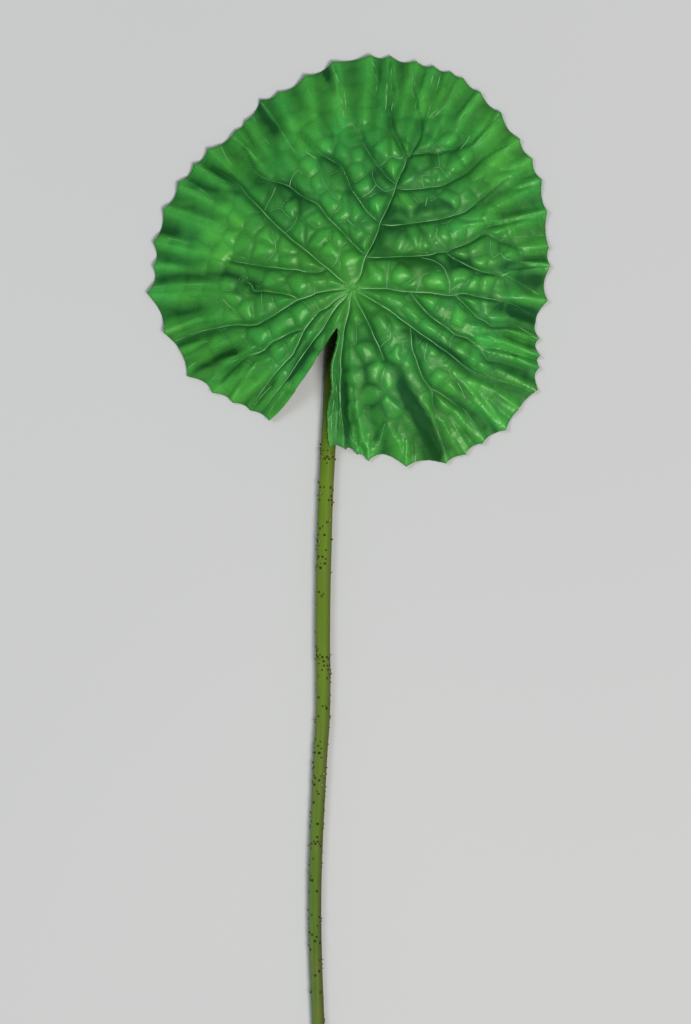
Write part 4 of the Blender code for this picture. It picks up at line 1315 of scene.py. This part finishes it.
class Nodes:
    """A material's node tree with short ways to add the nodes that these materials use."""

    def __init__(self, name):
        self.material = bpy.data.materials.new(name)
        self.material.use_nodes = True
        self.tree = self.material.node_tree
        self.shader = self.tree.nodes["Principled BSDF"]
        self.place = self.tree.nodes.new("ShaderNodeTexCoord").outputs["Object"]

    def add(self, kind, output, inputs, **settings):
        """Add a node with its settings and inputs, and give back the named output."""
        node = self.tree.nodes.new(kind)
        for name, value in settings.items():
            setattr(node, name, value)
        for name, value in inputs.items():
            self.link(value, node.inputs[name])
        return node.outputs[output]

    def link(self, value, socket):
        if isinstance(value, bpy.types.NodeSocket):
            self.tree.links.new(value, socket)
        else:
            socket.default_value = value

    def attribute(self, name):
        return self.add("ShaderNodeAttribute", "Fac", {}, attribute_name=name)

    def noise(self, scale, detail=3.0, offset=(0, 0, 0), stretch=(1, 1, 1)):
        place = {"Location": offset, "Scale": stretch, "Vector": self.place}
        inputs = {"Vector": self.add("ShaderNodeMapping", "Vector", place), "Scale": scale,
                  "Detail": detail, "Roughness": NOISE_ROUGHNESS}
        return self.add("ShaderNodeTexNoise", "Fac", inputs)

    def cells(self, scale, feature):
        inputs = {"Vector": self.place, "Scale": scale}
        return self.add("ShaderNodeTexVoronoi", "Distance", inputs, feature=feature)

    def ramp(self, value, low, high, start=0.0, end=1.0):
        inputs = {"Value": value, "From Min": low, "From Max": high, "To Min": start, "To Max": end}
        return self.add("ShaderNodeMapRange", "Result", inputs)

    def plus(self, first, second):
        return self.add("ShaderNodeMath", "Value", {0: first, 1: second}, operation="ADD")

    def times(self, first, second):
        return self.add("ShaderNodeMath", "Value", {0: first, 1: second}, operation="MULTIPLY")

    def mix(self, share, *pair):
        """Mix two colours, each a socket or a colour as seen on a screen."""
        first, second = (srgb(*colour) if isinstance(colour, tuple) else colour for colour in pair)
        inputs = {"Factor": share, "A": first, "B": second}
        return self.add("ShaderNodeMix", "Result", inputs, data_type="RGBA")

    def bump(self, height, strength, distance, below=None):
        inputs = {"Strength": strength, "Distance": distance, "Height": height}
        if below is not None:
            inputs["Normal"] = below
        return self.add("ShaderNodeBump", "Normal", inputs)

    def finish(self, colour, roughness, normal=None, **fixed):
        self.link(colour, self.shader.inputs["Base Color"])
        self.link(roughness, self.shader.inputs["Roughness"])
        if normal is not None:
            self.link(normal, self.shader.inputs["Normal"])
        for name, value in fixed.items():
            self.shader.inputs[name.replace("_", " ")].default_value = value
        return self.material


def leaf_face_material():
    nodes = Nodes("leaf_face")
    relief, out, crease = nodes.attribute("relief"), nodes.attribute("out"), nodes.attribute("crease")
    broad = nodes.ramp(nodes.noise(14.0), 0.35, 0.65)
    middle = nodes.ramp(nodes.noise(60.0, offset=(3, 1, 0)), 0.3, 0.7)
    # Dark to light green by the tone, which is painted light and shade along the leaf's shape, varied at
    # random.
    tone = nodes.plus(nodes.times(broad, 0.2), nodes.times(middle, 0.15))
    tone = nodes.times(nodes.plus(tone, 0.75), relief)
    dark = nodes.mix(broad, (0, 68, 16), (0, 68, 30))
    hue = nodes.ramp(nodes.noise(22.0, 2.0, (5, 0, 2)), 0.35, 0.65)
    green = nodes.mix(tone, dark, nodes.mix(hue, (58, 166, 68), (74, 170, 58)))
    fresh = nodes.mix(nodes.ramp(out, 0.03, 0.5, 0.2, 0.0), green, (70, 158, 44))
    # Painted shade: very dark green in the veins' creases.
    crease_shaded = nodes.mix(nodes.times(crease, 0.75), fresh, (4, 76, 26))
    # Darker green at the very rim: painted shade where the edge turns away.
    rim_shaded = nodes.mix(nodes.ramp(out, 0.985, 1.0, 0.0, 0.55), crease_shaded, (24, 84, 40))
    # Pale flecks of grain, strongest where the tone is lightest: partly grain, partly painted glints.
    grain = nodes.noise(1100.0, 2.0, (0, 4, 7))
    flecks = nodes.times(nodes.ramp(grain, 0.4, 0.75, 0.0, 0.4), relief)
    grain_and_glints = nodes.mix(flecks, rim_shaded, (96, 180, 84))
    rough = nodes.ramp(nodes.noise(200.0), 0.3, 0.7, 0.29, 0.44)
    rough = nodes.plus(rough, nodes.ramp(relief, 0.1, 0.5, 0.45, 0.0))
    normal = nodes.bump(nodes.noise(330.0), 0.25, 0.0006)
    normal = nodes.bump(grain, 0.2, 0.0002, normal)
    return nodes.finish(grain_and_glints, rough, normal, Specular_IOR_Level=0.5,
                        Specular_Tint=(0.75, 1.0, 0.6, 1.0))


def leaf_back_material():
    nodes = Nodes("leaf_back")
    relief = nodes.attribute("relief")
    broad = nodes.ramp(nodes.noise(16.0), 0.3, 0.7)
    tone = nodes.mix(broad, (92, 140, 88), (118, 158, 104))
    # Paler where the face's painted tone is darker, so the face's painted light and shade shows reversed
    # on the back.
    tone = nodes.mix(nodes.ramp(relief, 0.0, 1.0, 0.3, 0.0), tone, (140, 172, 128))
    network = nodes.ramp(nodes.cells(120.0, "DISTANCE_TO_EDGE"), 0.0, 0.12, 1.0, 0.0)
    veined = nodes.mix(nodes.times(network, 0.3), tone, (158, 186, 140))
    normal = nodes.bump(network, 0.4, 0.0005)
    normal = nodes.bump(nodes.noise(700.0, 2.0), 0.2, 0.0003, normal)
    return nodes.finish(veined, 0.6, normal, Specular_IOR_Level=0.35)


def vein_material():
    nodes = Nodes("leaf_vein")
    strength = nodes.attribute("strength")
    patch = nodes.ramp(nodes.noise(60.0), 0.35, 0.7)
    pale = nodes.mix(patch, (72, 148, 76), (150, 206, 142))
    colour = nodes.mix(nodes.ramp(strength, 0.08, 0.42), (34, 126, 40), pale)
    normal = nodes.bump(nodes.noise(700.0, 2.0), 0.15, 0.0002)
    return nodes.finish(colour, 0.5, normal, Specular_IOR_Level=0.4,
                        Specular_Tint=(0.85, 1.0, 0.85, 1.0))


def rib_material():
    nodes = Nodes("leaf_rib")
    colour = nodes.mix(nodes.ramp(nodes.noise(50.0), 0.3, 0.7), (140, 172, 116), (166, 190, 136))
    return nodes.finish(colour, 0.55, nodes.bump(nodes.noise(600.0, 2.0), 0.2, 0.0002))


def stalk_material():
    nodes = Nodes("stem_skin")
    turn, down = nodes.attribute("turn"), nodes.attribute("down")
    base = nodes.mix(nodes.ramp(down, 0.1, 0.9), (94, 126, 20), (74, 98, 26))
    streak = nodes.ramp(nodes.noise(260.0, stretch=(1.0, 0.06, 1.0)), 0.35, 0.65)
    streaked = nodes.mix(nodes.times(streak, 0.3), base, (112, 144, 40))
    blotch = nodes.ramp(nodes.noise(48.0, 4.0, (1, 5, 2)), 0.5, 0.7)
    mottled = nodes.mix(nodes.times(blotch, 0.45), streaked, (108, 108, 54))
    # Paler bluish grey on the stem's left side: painted reflection of the sky light.
    left = nodes.times(nodes.ramp(turn, -0.2, -0.95), nodes.ramp(down, 0.25, 0.6, 0.25, 0.85))
    pale = nodes.mix(left, mottled, nodes.mix(nodes.ramp(down, 0.5, 0.7), (120, 132, 60), (102, 132, 76)))
    edge = nodes.mix(nodes.ramp(down, 0.1, 0.8), (98, 112, 36), (72, 76, 40))
    tanned = nodes.mix(nodes.ramp(turn, 0.1, 0.8, 0.0, 0.8), pale, edge)
    # Nearly black near the leaf: painted shadow of the leaf on the stem.
    shade = nodes.mix(nodes.ramp(down, 0.1, 0.25, 0.9, 0.0), tanned, (36, 40, 16))
    specks = nodes.ramp(nodes.noise(420.0, 2.0, (2, 2, 9)), 0.68, 0.74)
    colour = nodes.mix(nodes.times(specks, 0.35), shade, (58, 66, 34))
    normal = nodes.bump(streak, 0.2, 0.0003)
    normal = nodes.bump(nodes.noise(500.0), 0.25, 0.0003, normal)
    return nodes.finish(colour, 0.62, normal, Specular_IOR_Level=0.18)


def cut_material():
    nodes = Nodes("stem_cut")
    pores = nodes.ramp(nodes.cells(900.0, "F1"), 0.15, 0.4)
    colour = nodes.mix(pores, (110, 118, 70), (186, 190, 140))
    return nodes.finish(colour, 0.75, nodes.bump(pores, 0.4, 0.0003))


def thorn_material():
    nodes = Nodes("stem_thorn")
    tip, shade = nodes.attribute("tip"), nodes.attribute("shade")
    body = nodes.mix(nodes.ramp(shade, 0.0, 0.9), (26, 26, 8), (78, 66, 30))
    pale = nodes.mix(nodes.ramp(shade, 0.9, 0.94), body, (210, 190, 130))
    colour = nodes.mix(nodes.ramp(tip, 0.3, 0.8), body, pale)
    return nodes.finish(colour, 0.6, Specular_IOR_Level=0.2)


def make_floor():
    bpy.ops.mesh.primitive_plane_add(size=FLOOR_SIZE, location=(0.0, 0.0, 0.0))
    floor = bpy.context.object
    floor.name = "studio_floor"
    nodes = Nodes("studio_floor")
    paper = nodes.mix(nodes.ramp(nodes.noise(1.2, 2.0), 0.3, 0.7), (195, 195, 195), (199, 199, 198))
    floor.data.materials.append(nodes.finish(paper, 0.9, Specular_IOR_Level=0.1))


def area_light(name, hub, place, size, watts, colour):
    data = bpy.data.lights.new(name, "AREA")
    data.shape = "DISK"
    data.size = size
    data.energy = watts
    data.color = colour
    lamp = bpy.data.objects.new(name, data)
    lamp.location = hub + Vector(place)
    towards = hub + Vector(LIGHT_TARGET) - lamp.location
    lamp.rotation_euler = towards.to_track_quat("-Z", "Y").to_euler()
    bpy.context.scene.collection.objects.link(lamp)
    return lamp


def light_the_studio(hub):
    area_light("key_light", hub, *KEY_LIGHT)
    area_light("sky_light", hub, *SKY_LIGHT).visible_glossy = False
    world = bpy.data.worlds.new("studio")
    world.use_nodes = True
    background = world.node_tree.nodes["Background"]
    background.inputs["Color"].default_value = WORLD_COLOUR
    background.inputs["Strength"].default_value = WORLD_STRENGTH
    bpy.context.scene.world = world


def make_camera(hub):
    """Straight above, with the picture's framing: +Y is the picture's top."""
    offset = plan([PICTURE_MIDDLE])[0]
    data = bpy.data.cameras.new("camera")
    data.sensor_fit = "VERTICAL"
    data.sensor_height = SENSOR_HEIGHT
    data.lens = SENSOR_HEIGHT * CAMERA_DISTANCE / (PICTURE_HEIGHT * PIXEL)
    data.clip_end = CAMERA_REACH
    camera = bpy.data.objects.new("camera", data)
    camera.location = hub + Vector((*offset, CAMERA_DISTANCE))
    bpy.context.scene.collection.objects.link(camera)
    bpy.context.scene.camera = camera


def main():
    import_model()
    outline = LeafOutline()
    cells = PuffCells(outline)
    blade = make_blade(outline, cells)
    veins = make_face_veins(blade, outline, cells)
    ribs = make_back_ribs(blade)
    stalk = make_stalk()
    thorns = make_thorns()
    for piece in (blade, veins, ribs, stalk, thorns):
        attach(piece, "root")
    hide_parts("leaf")
    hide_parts("stem")
    hub = Vector((*hub_place(), 0.0))
    make_floor()
    light_the_studio(hub)
    make_camera(hub)
    bpy.context.scene.view_settings.view_transform = "Standard"


main()
